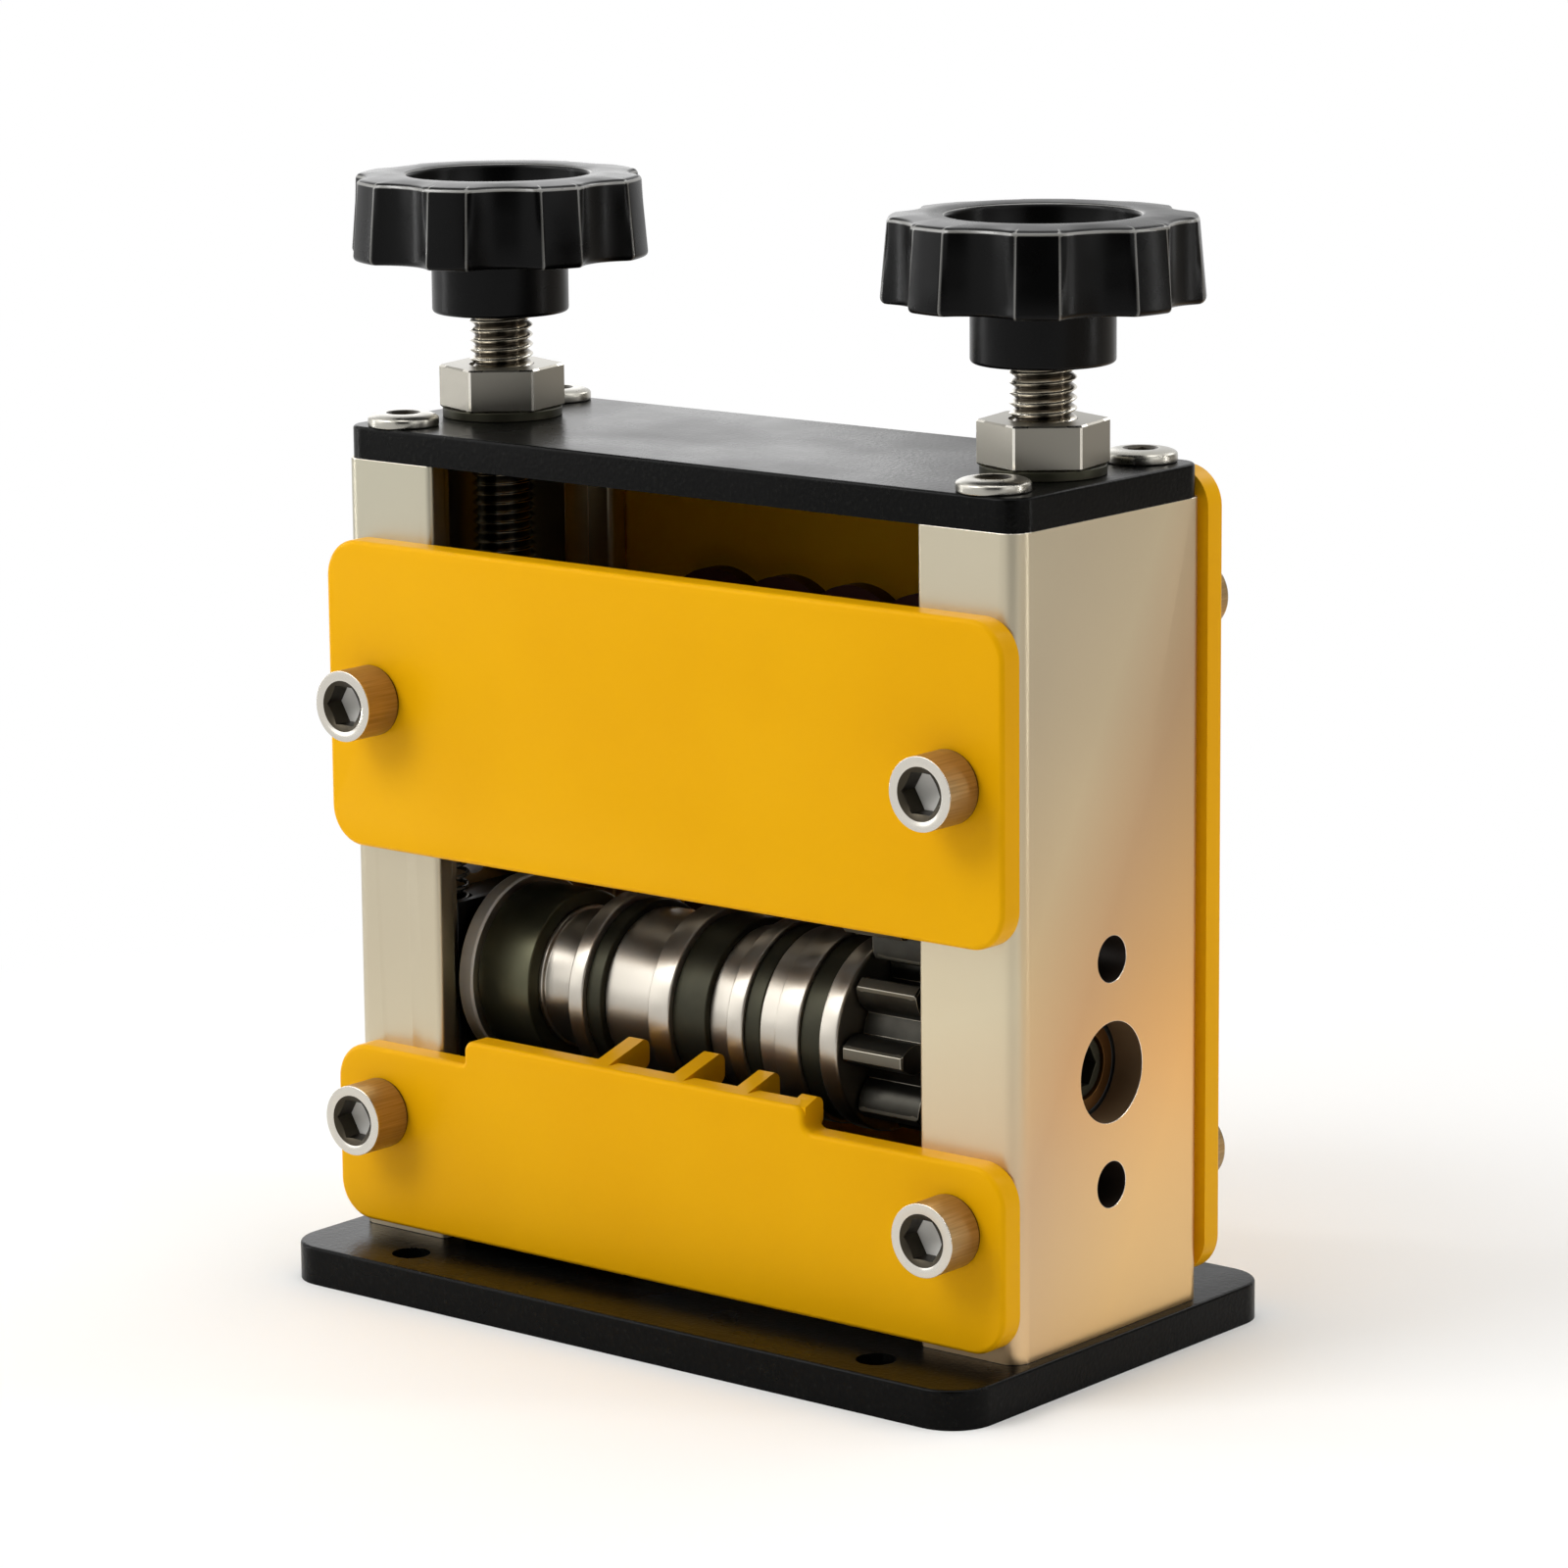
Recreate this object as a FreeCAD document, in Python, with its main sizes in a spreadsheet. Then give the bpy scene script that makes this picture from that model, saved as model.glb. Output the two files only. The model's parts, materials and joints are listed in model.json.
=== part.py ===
import FreeCAD, Part
import math
import os
import Sketcher

# Bench wire stripper. Two aluminium side channels stand on a base plate and carry a top plate.
# A geared drive shaft with grooved feed wheels turns in the fixed lower blocks. A cutter shaft
# with six round blades turns in two sliding blocks, which two screws with star knobs set up and down.
# X runs along the shafts, -Y is the outlet side, +Z is up, and Z = 0 is the underside of the base.

os.makedirs("parts", exist_ok=True)
doc = FreeCAD.newDocument("WireStripper")
sheet = doc.addObject("Spreadsheet::Sheet", "Sizes")

SIZES = [
    # base plate and top plate
    ("base_width", "134", "base plate along X"),
    ("base_depth", "78", "base plate along Y"),
    ("base_thick", "6", "base plate thickness"),
    ("base_corner", "7", "plan corner radius of the base plate"),
    ("mount_spacing_x", "92", "bench bolt holes, centre to centre"),
    ("mount_spacing_y", "64", "bench bolt holes, centre to centre"),
    ("mount_hole", "6", "bench bolt hole diameter"),
    ("top_thick", "5", "top plate thickness"),
    ("top_corner", "4", "plan corner radius of the top plate"),
    ("edge_break", "0.5", "small rounding of machined plate edges"),
    # side channels
    ("body_width", "130", "outside of the two side channels"),
    ("body_depth", "46", "side channel along Y"),
    ("channel_width", "18", "side channel along X"),
    ("channel_height", "122", "side channel between the plates"),
    ("channel_web", "5", "outer wall of a side channel"),
    ("flange_thick", "9.5", "front and rear wall of a side channel beside its guide slot"),
    ("mouth_wall", "4", "front and rear wall of a side channel at its open mouth"),
    ("mouth_depth", "4.8", "wide mouth of a side channel along X, before the guide slot"),
    ("channel_round", "3", "outer vertical edges of a side channel"),
    ("slot_round", "1", "edges at the mouth of a side channel"),
    ("port_bore", "15.2", "crank port in the web"),
    ("bracket_hole", "7", "bracket bolt hole in the web"),
    ("bracket_spacing", "34", "bracket bolt holes, centre to centre"),
    # screws
    ("screw_shank", "6", "frame and guard screw shank"),
    ("screw_fit", "0.05", "radial clearance of a screw in its hole"),
    ("screw_reach", "12", "screw length in the channel"),
    ("cap_head", "11", "guard screw head diameter"),
    ("cap_height", "7", "guard screw head height"),
    ("cap_socket", "6", "guard screw socket across flats"),
    ("button_head", "11", "top screw head diameter"),
    ("button_height", "2", "top screw head height"),
    ("button_socket", "4", "top screw socket across flats"),
    ("foot_head", "9.6", "base screw head diameter"),
    ("foot_height", "3.6", "base screw head height"),
    ("small_head", "1.8", "small screw head height"),
    ("leg_inset_x", "8", "frame screw centre from the outside of the body"),
    ("leg_inset_y", "5.2", "frame screw centre from the front of the body"),
    # guards
    ("guard_width", "131", "guard plates along X"),
    ("guard_thick", "4", "guard plate thickness"),
    ("guard_corner", "6", "guard plate corner radius"),
    ("guard_edge", "0.8", "rounding of the guard plate edges"),
    ("guard_screw_inset", "9.5", "guard screw centre from the end of the guard"),
    ("upper_guard_bottom", "62", "upper guard, above the base plate"),
    ("upper_guard_height", "48", "upper guard along Z"),
    ("upper_guard_screw", "23.5", "upper guard screws above its lower edge"),
    ("comb_bottom", "2", "comb guard lower edge above the base plate"),
    ("comb_shoulder", "28.2", "comb guard height at its ends"),
    ("comb_rise", "3.8", "raised middle of the comb guard"),
    ("comb_left", "38.8", "left end of the raised middle from the centre"),
    ("comb_right", "28.4", "right end of the raised middle from the centre"),
    ("comb_round", "1.7", "rounding at the ends of the raised middle"),
    ("notch_round", "0.5", "rounding at the foot of the raised middle, at its left end"),
    ("comb_screw", "18", "comb guard screws above its lower edge"),
    ("finger_one", "-12.15", "first finger from the centre"),
    ("finger_two", "2.8", "second finger from the centre"),
    ("finger_three", "15.3", "third finger from the centre"),
    ("finger_four", "26.9", "last finger from the centre"),
    ("finger_width", "3", "finger along X"),
    ("finger_height", "4.6", "finger along Z"),
    ("finger_slope", "2.5", "rise of a finger over 10 mm towards its tip"),
    ("finger_long", "7.3", "first and second finger behind the guard"),
    ("finger_middle", "5.1", "third finger behind the guard"),
    ("finger_short", "1", "last finger behind the guard"),
    ("rear_bottom", "3", "rear plate lower edge above the base plate"),
    ("rear_height", "123", "rear plate along Z"),
    ("rear_screw_low", "17", "lower rear screws above the plate edge"),
    ("rear_screw_high", "102", "upper rear screws above the plate edge"),
    ("board_thick", "3", "guide board thickness"),
    ("board_bottom", "44", "guide board lower edge above the base plate"),
    ("board_height", "56", "guide board up to the valleys of its top edge"),
    ("board_left", "-33.6", "left end of the guide board"),
    ("scallop_pitch", "13.8", "one scallop of the guide board"),
    ("scallop_rise", "2.6", "crown of a scallop above its valleys"),
    ("board_screw_drop", "16", "guide board screws below the valleys"),
    ("board_hole", "1", "cable holes of the guide board are larger than the feed holes, on the radius"),
    # drive shaft and its wheels
    ("drive_height", "39.5", "drive shaft above the base plate"),
    ("shaft_diameter", "10", "drive and cutter shafts"),
    ("shaft_gap", "0.4", "shaft end inside the web"),
    ("bush_fit", "0.03", "radial clearance of a shaft in its bush"),
    ("bush_wall", "2", "bronze bush wall"),
    ("stack_fit", "0.02", "radial clearance of a wheel on its shaft"),
    ("socket_flats", "6", "crank socket across flats"),
    ("socket_depth", "8", "crank socket depth"),
    ("key_width", "3", "feather key width and height"),
    ("key_seat", "1.8", "key seat depth in the shaft"),
    ("key_gap", "0.1", "clearance above and beside the key"),
    ("flange_width", "2.9", "shaft flange, the first knurled rim"),
    ("collar_width", "1.1", "shaft collar beside the left block"),
    ("collar_radius", "8", "shaft collar, sleeves and gear bosses"),
    ("block_gap", "0.3", "running gap beside a bearing block"),
    ("rim_radius", "15", "knurled feed rims"),
    ("anvil_radius", "13.6", "first anvil roller"),
    ("narrow_anvil", "14.4", "anvil rings of the fifth and sixth lane"),
    ("cheek_radius", "14", "black cheek rings beside a rim"),
    ("deep_groove", "10.7", "bottom of the second wire groove"),
    ("groove_radius", "13", "bottom of the third and fourth wire groove"),
    ("lip_radius", "11.3", "lip of the first hub"),
    ("lip_width", "0.9", "lip of the first hub"),
    ("step_radius", "14.4", "step beside the fifth rim"),
    ("wide_anvil", "10.5", "first anvil roller"),
    ("hub_groove", "9.4", "second wire groove"),
    ("rim_two", "2.9", "second rim"),
    ("cheek_two", "2.9", "second black ring"),
    ("groove_three", "10.3", "third wire groove"),
    ("rim_three", "4.2", "third rim"),
    ("cheek_three", "6.5", "third black ring"),
    ("groove_four", "4.9", "fourth wire groove"),
    ("rim_four", "3.1", "fourth rim"),
    ("anvil_five", "3", "fifth lane, narrow anvil"),
    ("step_five", "3.3", "step of the fifth wheel"),
    ("rim_five", "4.5", "fifth rim"),
    ("anvil_six", "4", "sixth lane anvil"),
    ("rim_six", "3.5", "last rim"),
    ("wheel_chamfer", "0.3", "edge chamfer of turned pieces"),
    # gears
    ("gear_module", "3", "module of both gears"),
    ("gear_addendum", "2.4", "tooth tip above the pitch circle"),
    ("gear_dedendum", "2.7", "tooth root below the pitch circle"),
    ("gear_angle", "25", "pressure angle in degrees"),
    ("gear_backlash", "0.35", "tooth thinning at the pitch circle"),
    ("gear_width", "11.4", "gear face width"),
    ("gear_turn", "1", "drive gear as set, degrees"),
    ("gear_gap", "0.5", "boss between the last rim and the gear"),
    ("clip_thick", "1", "retaining ring thickness"),
    ("clip_radius", "7", "retaining ring outer radius"),
    ("clip_seat", "4.7", "retaining ring groove radius"),
    # cutter shaft
    ("axis_distance", "29", "drive shaft to cutter shaft, as set"),
    ("blade_radius", "12.2", "round blade"),
    ("blade_thick", "2", "round blade"),
    ("blade_bevel", "2.6", "bevel of the blade edge along the radius"),
    ("spacer_radius", "9", "spacers between the blades"),
    # bearing blocks
    ("lower_block", "8", "lower block along X"),
    ("block_slide", "0.1", "clearance of a block in its slot, each side"),
    ("lower_block_top", "12", "lower block above the drive shaft"),
    ("upper_block_down", "10", "upper block below the cutter shaft"),
    ("upper_block_up", "18", "upper block above the cutter shaft"),
    ("spring_side", "4", "return springs from the side of the guide slot"),
    ("spring_outer", "2.5", "return spring outer radius"),
    ("spring_wire", "0.7", "return spring wire"),
    ("spring_seat", "4", "spring pocket depth"),
    ("pocket_fit", "0.3", "radial clearance round a spring"),
    # adjusting screws, knobs and nuts
    ("knob_axis", "52.5", "adjusting screw from the centre"),
    ("adjuster", "10", "adjusting screw diameter"),
    ("adjuster_fit", "0.1", "radial clearance of the screw in plate and nut"),
    ("neck_radius", "3", "neck of the screw inside the keeper"),
    ("toe_radius", "4.3", "toe of the screw inside the block"),
    ("toe_height", "2.5", "toe of the screw"),
    ("toe_gap", "0.1", "end clearance of the toe and the keeper"),
    ("toe_side", "0.3", "side clearance of the toe and the neck"),
    ("keeper_thick", "2", "keeper plate"),
    ("keeper_screw", "3", "keeper screw diameter"),
    ("keeper_grip", "6", "keeper screw in the block"),
    ("washer_radius", "9.3", "washer under the lock nut"),
    ("washer_thick", "1.4", "washer under the lock nut"),
    ("nut_flats", "17", "lock nut across flats"),
    ("nut_height", "6.6", "lock nut height"),
    ("nut_turn", "41", "lock nut flat from the outlet side, degrees"),
    ("hub_clear", "8.2", "knob hub above the lock nut"),
    ("hub_radius", "10.6", "knob hub"),
    ("hub_height", "8.7", "knob hub"),
    ("knob_radius", "23.5", "star knob over its lobes"),
    ("knob_height", "13", "star knob rim"),
    ("knob_draft", "1", "star knob is smaller at the top, on the radius"),
    ("knob_round", "0.8", "moulded edges of the star knob"),
    ("flute_radius", "9.5", "finger flutes of the star knob"),
    ("flute_depth", "2.8", "finger flutes of the star knob"),
    ("lobes", "8", "lobes of the star knob"),
    ("dish_radius", "14", "recess in the top of the star knob"),
    ("dish_depth", "8", "recess in the top of the star knob"),
    ("left_knob_turn", "21.5", "left knob as set, degrees"),
    ("right_knob_turn", "34.8", "right knob as set, degrees"),
    ("knob_nut_height", "5", "nut in the knob recess"),
]

for row, (alias, text, note) in enumerate(SIZES, start=1):
    sheet.set(f"A{row}", text)
    sheet.setAlias(f"A{row}", alias)
    sheet.set(f"B{row}", note)
doc.recompute()

DRIVE_TEETH = 8
CUTTER_TEETH = 10
FLANK_POINTS = 5


class Size:
    """A size worked out from the sheet: its value now, and the expression that binds a feature to it."""

    def __init__(self, value, text):
        self.value = value
        self.text = text

    def __add__(self, other):
        other = as_size(other)
        return Size(self.value + other.value, f"({self.text} + {other.text})")

    def __sub__(self, other):
        other = as_size(other)
        return Size(self.value - other.value, f"({self.text} - {other.text})")

    def __mul__(self, number):
        return Size(self.value * number, f"({self.text} * {number:.9f})")

    def __truediv__(self, number):
        return Size(self.value / number, f"({self.text} / {number:.9f})")

    def __neg__(self):
        return self * -1

    __rmul__ = __mul__


def as_size(number):
    if isinstance(number, Size):
        return number
    return Size(float(number), f"{float(number):.9f}")


class Sheet:
    """Every cell of the sheet as a Size, by its alias."""

    def __init__(self):
        for alias, _, _ in SIZES:
            setattr(self, alias, Size(float(sheet.get(alias)), f"Sizes.{alias}"))


dim = Sheet()


# ---- helpers: bodies, sketches and features -----------------------------------------------------

def bind(feature, name, size):
    feature.setExpression(name, as_size(size).text)


def new_body(label, place=(0, 0, 0), turn_axis=None, turn=0):
    body = doc.addObject("PartDesign::Body", label)
    body.Label = label
    if turn_axis:
        body.Placement = FreeCAD.Placement(FreeCAD.Vector(), FreeCAD.Rotation(turn_axis, turn))
    for axis, distance in zip("xyz", place):
        bind(body, f"Placement.Base.{axis}", distance)
    return body


def new_sketch(body, plane, offset=0):
    """Sketch on one of the body's own planes. XY faces +Z, XZ faces -Y and YZ faces +X."""
    sketch = body.newObject("Sketcher::SketchObject", f"{body.Name}_sketch")
    support = next(item for item in body.Origin.OriginFeatures if item.Role == f"{plane}_Plane")
    sketch.AttachmentSupport = [(support, "")]
    sketch.MapMode = "FlatFace"
    bind(sketch, "AttachmentOffset.Base.z", offset)
    return sketch


def pin(sketch, geometry, end, point):
    """Hold one end of a sketch line at a point measured from the sketch origin."""
    for kind, distance in zip(("DistanceX", "DistanceY"), point):
        distance = as_size(distance)
        constraint = Sketcher.Constraint(kind, -1, 1, geometry, end, distance.value)
        bind(sketch, f"Constraints[{sketch.addConstraint(constraint)}]", distance)


def vector(point):
    return FreeCAD.Vector(as_size(point[0]).value, as_size(point[1]).value, 0)


def arc_through(start, through, stop):
    """Sketch arc by three points, and whether it runs forward, which is anticlockwise."""
    centre = Part.Arc(start, through, stop).toShape().Curve.Center
    angles = [math.atan2(point.y - centre.y, point.x - centre.x) for point in (start, through, stop)]
    along, whole = [(angle - angles[0]) % (2 * math.pi) for angle in angles[1:]]
    forward = along < whole
    first, last = (angles[0], angles[2]) if forward else (angles[2], angles[0])
    ring = Part.Circle(centre, FreeCAD.Vector(0, 0, 1), centre.distanceToPoint(start))
    return Part.ArcOfCircle(ring, first, last), forward


def outline(sketch, points, bulges=None):
    """Closed outline. bulges gives, for the side that starts at a point, a point its arc passes."""
    bulges = bulges or {}
    count = len(points)
    ends = []
    for index, start in enumerate(points):
        stop = points[(index + 1) % count]
        if index in bulges:
            arc, forward = arc_through(vector(start), vector(bulges[index][0]), vector(stop))
            geometry = sketch.addGeometry(arc)
            ends.append((geometry, 1 if forward else 2, 2 if forward else 1))
        else:
            geometry = sketch.addGeometry(Part.LineSegment(vector(start), vector(stop)))
            ends.append((geometry, 1, 2))
    for index, (geometry, first, _) in enumerate(ends):
        before, _, last = ends[index - 1]
        sketch.addConstraint(Sketcher.Constraint("Coincident", before, last, geometry, first))
        pin(sketch, geometry, first, points[index])
        if index in bulges:
            radius = as_size(bulges[index][1])
            constraint = Sketcher.Constraint("Radius", geometry, radius.value)
            bind(sketch, f"Constraints[{sketch.addConstraint(constraint)}]", radius)


def box_outline(sketch, left, right, low, high):
    outline(sketch, [(left, low), (right, low), (right, high), (left, high)])


def circle(sketch, x, y, radius):
    radius = as_size(radius)
    geometry = sketch.addGeometry(Part.Circle(vector((x, y)), FreeCAD.Vector(0, 0, 1), radius.value))
    pin(sketch, geometry, 3, (x, y))
    constraint = Sketcher.Constraint("Radius", geometry, radius.value)
    bind(sketch, f"Constraints[{sketch.addConstraint(constraint)}]", radius)


def hexagon(sketch, flats, turn=0):
    corner = as_size(flats) / math.sqrt(3)
    angles = [math.radians(turn + 60 * step) for step in range(6)]
    outline(sketch, [(corner * math.cos(a), corner * math.sin(a)) for a in angles])


def settle(body, feature):
    """Recompute, and stop at the first feature that does not come out."""
    doc.recompute()
    if feature.Shape.isNull() or "Invalid" in feature.State or not feature.Shape.isValid():
        raise RuntimeError(f"{body.Label}: {feature.Name} did not come out")


def pad(body, sketch, length, backwards=False):
    feature = body.newObject("PartDesign::Pad", f"{body.Name}_pad")
    feature.Profile = sketch
    feature.Reversed = backwards
    bind(feature, "Length", length)
    settle(body, feature)
    return feature


def cut(body, sketch, length=None, backwards=False):
    """Pocket of a given depth, or through everything, that has to take material away."""
    before = body.Shape.Volume
    feature = body.newObject("PartDesign::Pocket", f"{body.Name}_pocket")
    feature.Profile = sketch
    feature.Reversed = backwards
    if length is None:
        feature.Type = "ThroughAll"
        feature.SideType = "Symmetric"
    else:
        bind(feature, "Length", length)
    settle(body, feature)
    if body.Shape.Volume >= before:
        raise RuntimeError(f"{body.Label}: a pocket took nothing away")
    return feature


def around(body, feature, axis, count):
    """Repeat a cut round one of the body's axes."""
    pattern = body.newObject("PartDesign::PolarPattern", f"{body.Name}_pattern")
    pattern.Originals = [feature]
    line = next(item for item in body.Origin.OriginFeatures if item.Role == f"{axis}_Axis")
    pattern.Axis = (line, [""])
    pattern.Angle = 360
    pattern.Occurrences = count
    body.Tip = pattern
    settle(body, pattern)


def soften(body, radius, wanted, kind="Fillet"):
    """Fillet or chamfer of the edges that wanted() picks, in the body's own coordinates."""
    tip = body.Tip
    names = [f"Edge{i}" for i, edge in enumerate(tip.Shape.Edges, start=1) if wanted(edge)]
    feature = body.newObject(f"PartDesign::{kind}", f"{body.Name}_edges")
    feature.Base = (tip, names)
    bind(feature, "Radius" if kind == "Fillet" else "Size", radius)
    settle(body, feature)


def middle(edge):
    return edge.BoundBox.Center


def runs(edge, axis):
    """True for a straight edge along axis x, y or z."""
    if not isinstance(edge.Curve, Part.Line):
        return False
    spans = {"x": edge.BoundBox.XLength, "y": edge.BoundBox.YLength, "z": edge.BoundBox.ZLength}
    return all(length < 1e-6 for name, length in spans.items() if name != axis)


def inside(edge):
    """True for an edge of the comb guard that belongs to its raised middle."""
    return abs(middle(edge).x) < (dim.guard_width / 2 - dim.guard_corner).value - 1


def level(edge, axis, place):
    """True for an edge that lies in the plane axis = place."""
    box = edge.BoundBox
    low = {"x": box.XMin, "y": box.YMin, "z": box.ZMin}[axis]
    high = {"x": box.XMax, "y": box.YMax, "z": box.ZMax}[axis]
    value = as_size(place).value
    return abs(low - value) < 1e-4 and abs(high - value) < 1e-4


def turned(label, points, place, axis="H_Axis"):
    """Revolved piece. Points are (along, radius) for an X axis, or (radius, along) for a Z axis."""
    body = new_body(label, place)
    sketch = new_sketch(body, "XZ")
    outline(sketch, points)
    feature = body.newObject("PartDesign::Revolution", f"{label}_turned")
    feature.Profile = sketch
    feature.ReferenceAxis = (sketch, [axis])
    feature.Angle = 360
    settle(body, feature)
    return body


def mirrored(source, normal, name):
    copy = doc.addObject("Part::Mirroring", name)
    copy.Source = source
    copy.Normal = FreeCAD.Vector(*normal)
    copy.Base = FreeCAD.Vector(0, 0, 0)
    return copy


def group(label, pieces):
    """Like pieces that share one node, as separate solids."""
    compound = doc.addObject("Part::Compound", label)
    compound.Label = label
    compound.Links = pieces
    return compound


def pair(label, source):
    """The piece and its mirror image on the other side of the middle plane."""
    return group(label, [source, mirrored(source, (1, 0, 0), f"{label}_right")])


def quad(label, source):
    """The piece at all four corners."""
    right = mirrored(source, (1, 0, 0), f"{label}_right")
    rear = mirrored(source, (0, 1, 0), f"{label}_rear")
    far = mirrored(rear, (1, 0, 0), f"{label}_far")
    return group(label, [source, right, rear, far])


nodes = []


def keep(piece):
    nodes.append(piece)
    return piece


# ---- places that several pieces share ----------------------------------------------------------

base_top = dim.base_thick
body_top = base_top + dim.channel_height
plate_top = body_top + dim.top_thick
half_width = dim.body_width / 2
half_depth = dim.body_depth / 2
inner_face = half_width - dim.channel_width
web_face = half_width - dim.channel_web
slot_half = half_depth - dim.flange_thick
spring_place = slot_half - dim.spring_side
leg_x = half_width - dim.leg_inset_x
leg_y = half_depth - dim.leg_inset_y
guard_screw_x = dim.guard_width / 2 - dim.guard_screw_inset
screw_hole = dim.screw_shank / 2 + dim.screw_fit
drive_z = base_top + dim.drive_height
cutter_z = drive_z + dim.axis_distance
upper_guard_low = base_top + dim.upper_guard_bottom
upper_guard_screw_z = upper_guard_low + dim.upper_guard_screw
comb_low = base_top + dim.comb_bottom
comb_screw_z = comb_low + dim.comb_screw
rear_low = base_top + dim.rear_bottom
rear_screw_levels = [rear_low + dim.rear_screw_low, rear_low + dim.rear_screw_high]
block_middle = web_face - dim.lower_block / 2
shaft_radius = dim.shaft_diameter / 2
bush_radius = shaft_radius + dim.bush_wall
nut_bottom = plate_top + dim.washer_thick
hub_bottom = nut_bottom + dim.nut_height + dim.hub_clear

# Stations along the drive shaft, from the flange to the gear.
STACK = ["wide_anvil", "hub_groove", "rim_two", "cheek_two", "groove_three", "rim_three",
         "cheek_three", "groove_four", "rim_four", "anvil_five", "step_five", "rim_five",
         "anvil_six", "rim_six"]
collar_start = -(web_face - dim.lower_block - dim.block_gap)
flange_start = collar_start + dim.collar_width
station = {"flange": flange_start + dim.flange_width}
edge = station["flange"]
for name in STACK:
    station[name] = edge
    edge = edge + getattr(dim, name)
stack_end = edge
gear_start = stack_end + dim.gear_gap
gear_end = gear_start + dim.gear_width


def lane(name):
    """Middle of a wire lane along X."""
    return station[name] + getattr(dim, name) / 2


LANES = ["wide_anvil", "hub_groove", "groove_three", "groove_four", "anvil_five", "anvil_six"]
FEED_HOLES = [9, 7, 8, 4.5, 2.6, 3.6]


# ---- base plate ---------------------------------------------------------------------------------

def base_plate():
    body = new_body("base_plate")
    sketch = new_sketch(body, "XY")
    box_outline(sketch, -dim.base_width / 2, dim.base_width / 2, -dim.base_depth / 2, dim.base_depth / 2)
    pad(body, sketch, dim.base_thick)
    soften(body, dim.base_corner, lambda edge: runs(edge, "z"))
    soften(body, dim.edge_break, lambda edge: level(edge, "z", base_top))
    holes = new_sketch(body, "XY")
    recesses = new_sketch(body, "XY")
    for side in (-1, 1):
        for front in (-1, 1):
            circle(holes, dim.mount_spacing_x / 2 * side, dim.mount_spacing_y / 2 * front, dim.mount_hole / 2)
            circle(holes, leg_x * side, leg_y * front, screw_hole)
            circle(recesses, leg_x * side, leg_y * front, dim.foot_head / 2 + dim.screw_fit)
        circle(holes, block_middle * side, 0, screw_hole)
        circle(recesses, block_middle * side, 0, dim.foot_head / 2 + dim.screw_fit)
    cut(body, holes)
    cut(body, recesses, dim.foot_height + dim.screw_fit, backwards=True)
    keep(body)


# ---- side channels ------------------------------------------------------------------------------

def side_channel(label, side):
    """Channel with a guide slot behind a wide mouth, a crank port and two bracket holes in its web."""
    body = new_body(label)
    sketch = new_sketch(body, "XY", base_top)
    inner, outer, web = inner_face * side, half_width * side, web_face * side
    floor = (inner_face + dim.mouth_depth) * side
    mouth = half_depth - dim.mouth_wall
    outline(sketch, [(inner, -half_depth), (outer, -half_depth), (outer, half_depth), (inner, half_depth),
                     (inner, mouth), (floor, mouth), (floor, slot_half), (web, slot_half), (web, -slot_half),
                     (floor, -slot_half), (floor, -mouth), (inner, -mouth)])
    pad(body, sketch, dim.channel_height)
    soften(body, dim.channel_round, lambda e: runs(e, "z") and level(e, "x", outer))
    soften(body, dim.slot_round, lambda e: runs(e, "z") and level(e, "x", inner))
    port = new_sketch(body, "YZ", outer + as_size(side))
    circle(port, 0, drive_z, dim.port_bore / 2)
    for step in (-1, 1):
        circle(port, 0, drive_z + dim.bracket_spacing / 2 * step, dim.bracket_hole / 2)
    cut(body, port, dim.channel_web + 2, backwards=side < 0)
    top = new_sketch(body, "XY", body_top)
    bottom = new_sketch(body, "XY", base_top)
    for sketch, backwards in ((top, False), (bottom, True)):
        for front in (-1, 1):
            circle(sketch, leg_x * side, leg_y * front, screw_hole)
        cut(body, sketch, dim.screw_reach + 1, backwards=backwards)
    front = new_sketch(body, "XZ", half_depth)
    for height in (upper_guard_screw_z, comb_screw_z):
        circle(front, guard_screw_x * side, height, screw_hole)
    cut(body, front, dim.flange_thick - 1)
    rear = new_sketch(body, "XZ", -half_depth)
    for height in rear_screw_levels:
        circle(rear, guard_screw_x * side, height, screw_hole)
    cut(body, rear, dim.flange_thick - 1, backwards=True)
    keep(body)


# ---- top plate ----------------------------------------------------------------------------------

def top_plate():
    body = new_body("top_plate")
    sketch = new_sketch(body, "XY", body_top)
    box_outline(sketch, -half_width, half_width, -half_depth, half_depth)
    pad(body, sketch, dim.top_thick)
    soften(body, dim.top_corner, lambda edge: runs(edge, "z"))
    soften(body, dim.edge_break, lambda edge: level(edge, "z", plate_top))
    holes = new_sketch(body, "XY", body_top)
    for side in (-1, 1):
        circle(holes, dim.knob_axis * side, 0, dim.adjuster / 2 + dim.adjuster_fit)
        for front in (-1, 1):
            circle(holes, leg_x * side, leg_y * front, screw_hole)
    cut(body, holes)
    keep(body)


# ---- guard plates -------------------------------------------------------------------------------

def guard_blank(label, low, height, inner, backwards=False):
    """Rounded plate against the front or the rear face of the side channels."""
    body = new_body(label)
    sketch = new_sketch(body, "XZ", inner)
    half = dim.guard_width / 2
    box_outline(sketch, -half, half, low, low + height)
    pad(body, sketch, dim.guard_thick, backwards=backwards)
    soften(body, dim.guard_corner, lambda edge: runs(edge, "y"))
    return body


def guard_holes(body, inner, levels):
    holes = new_sketch(body, "XZ", inner)
    for side in (-1, 1):
        for height in levels:
            circle(holes, guard_screw_x * side, height, screw_hole)
    cut(body, holes)


def upper_guard():
    body = guard_blank("front_upper_guard", upper_guard_low, dim.upper_guard_height, half_depth)
    soften(body, dim.guard_edge, lambda edge: level(edge, "y", -half_depth - dim.guard_thick))
    guard_holes(body, half_depth, [upper_guard_screw_z])
    keep(body)


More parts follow.
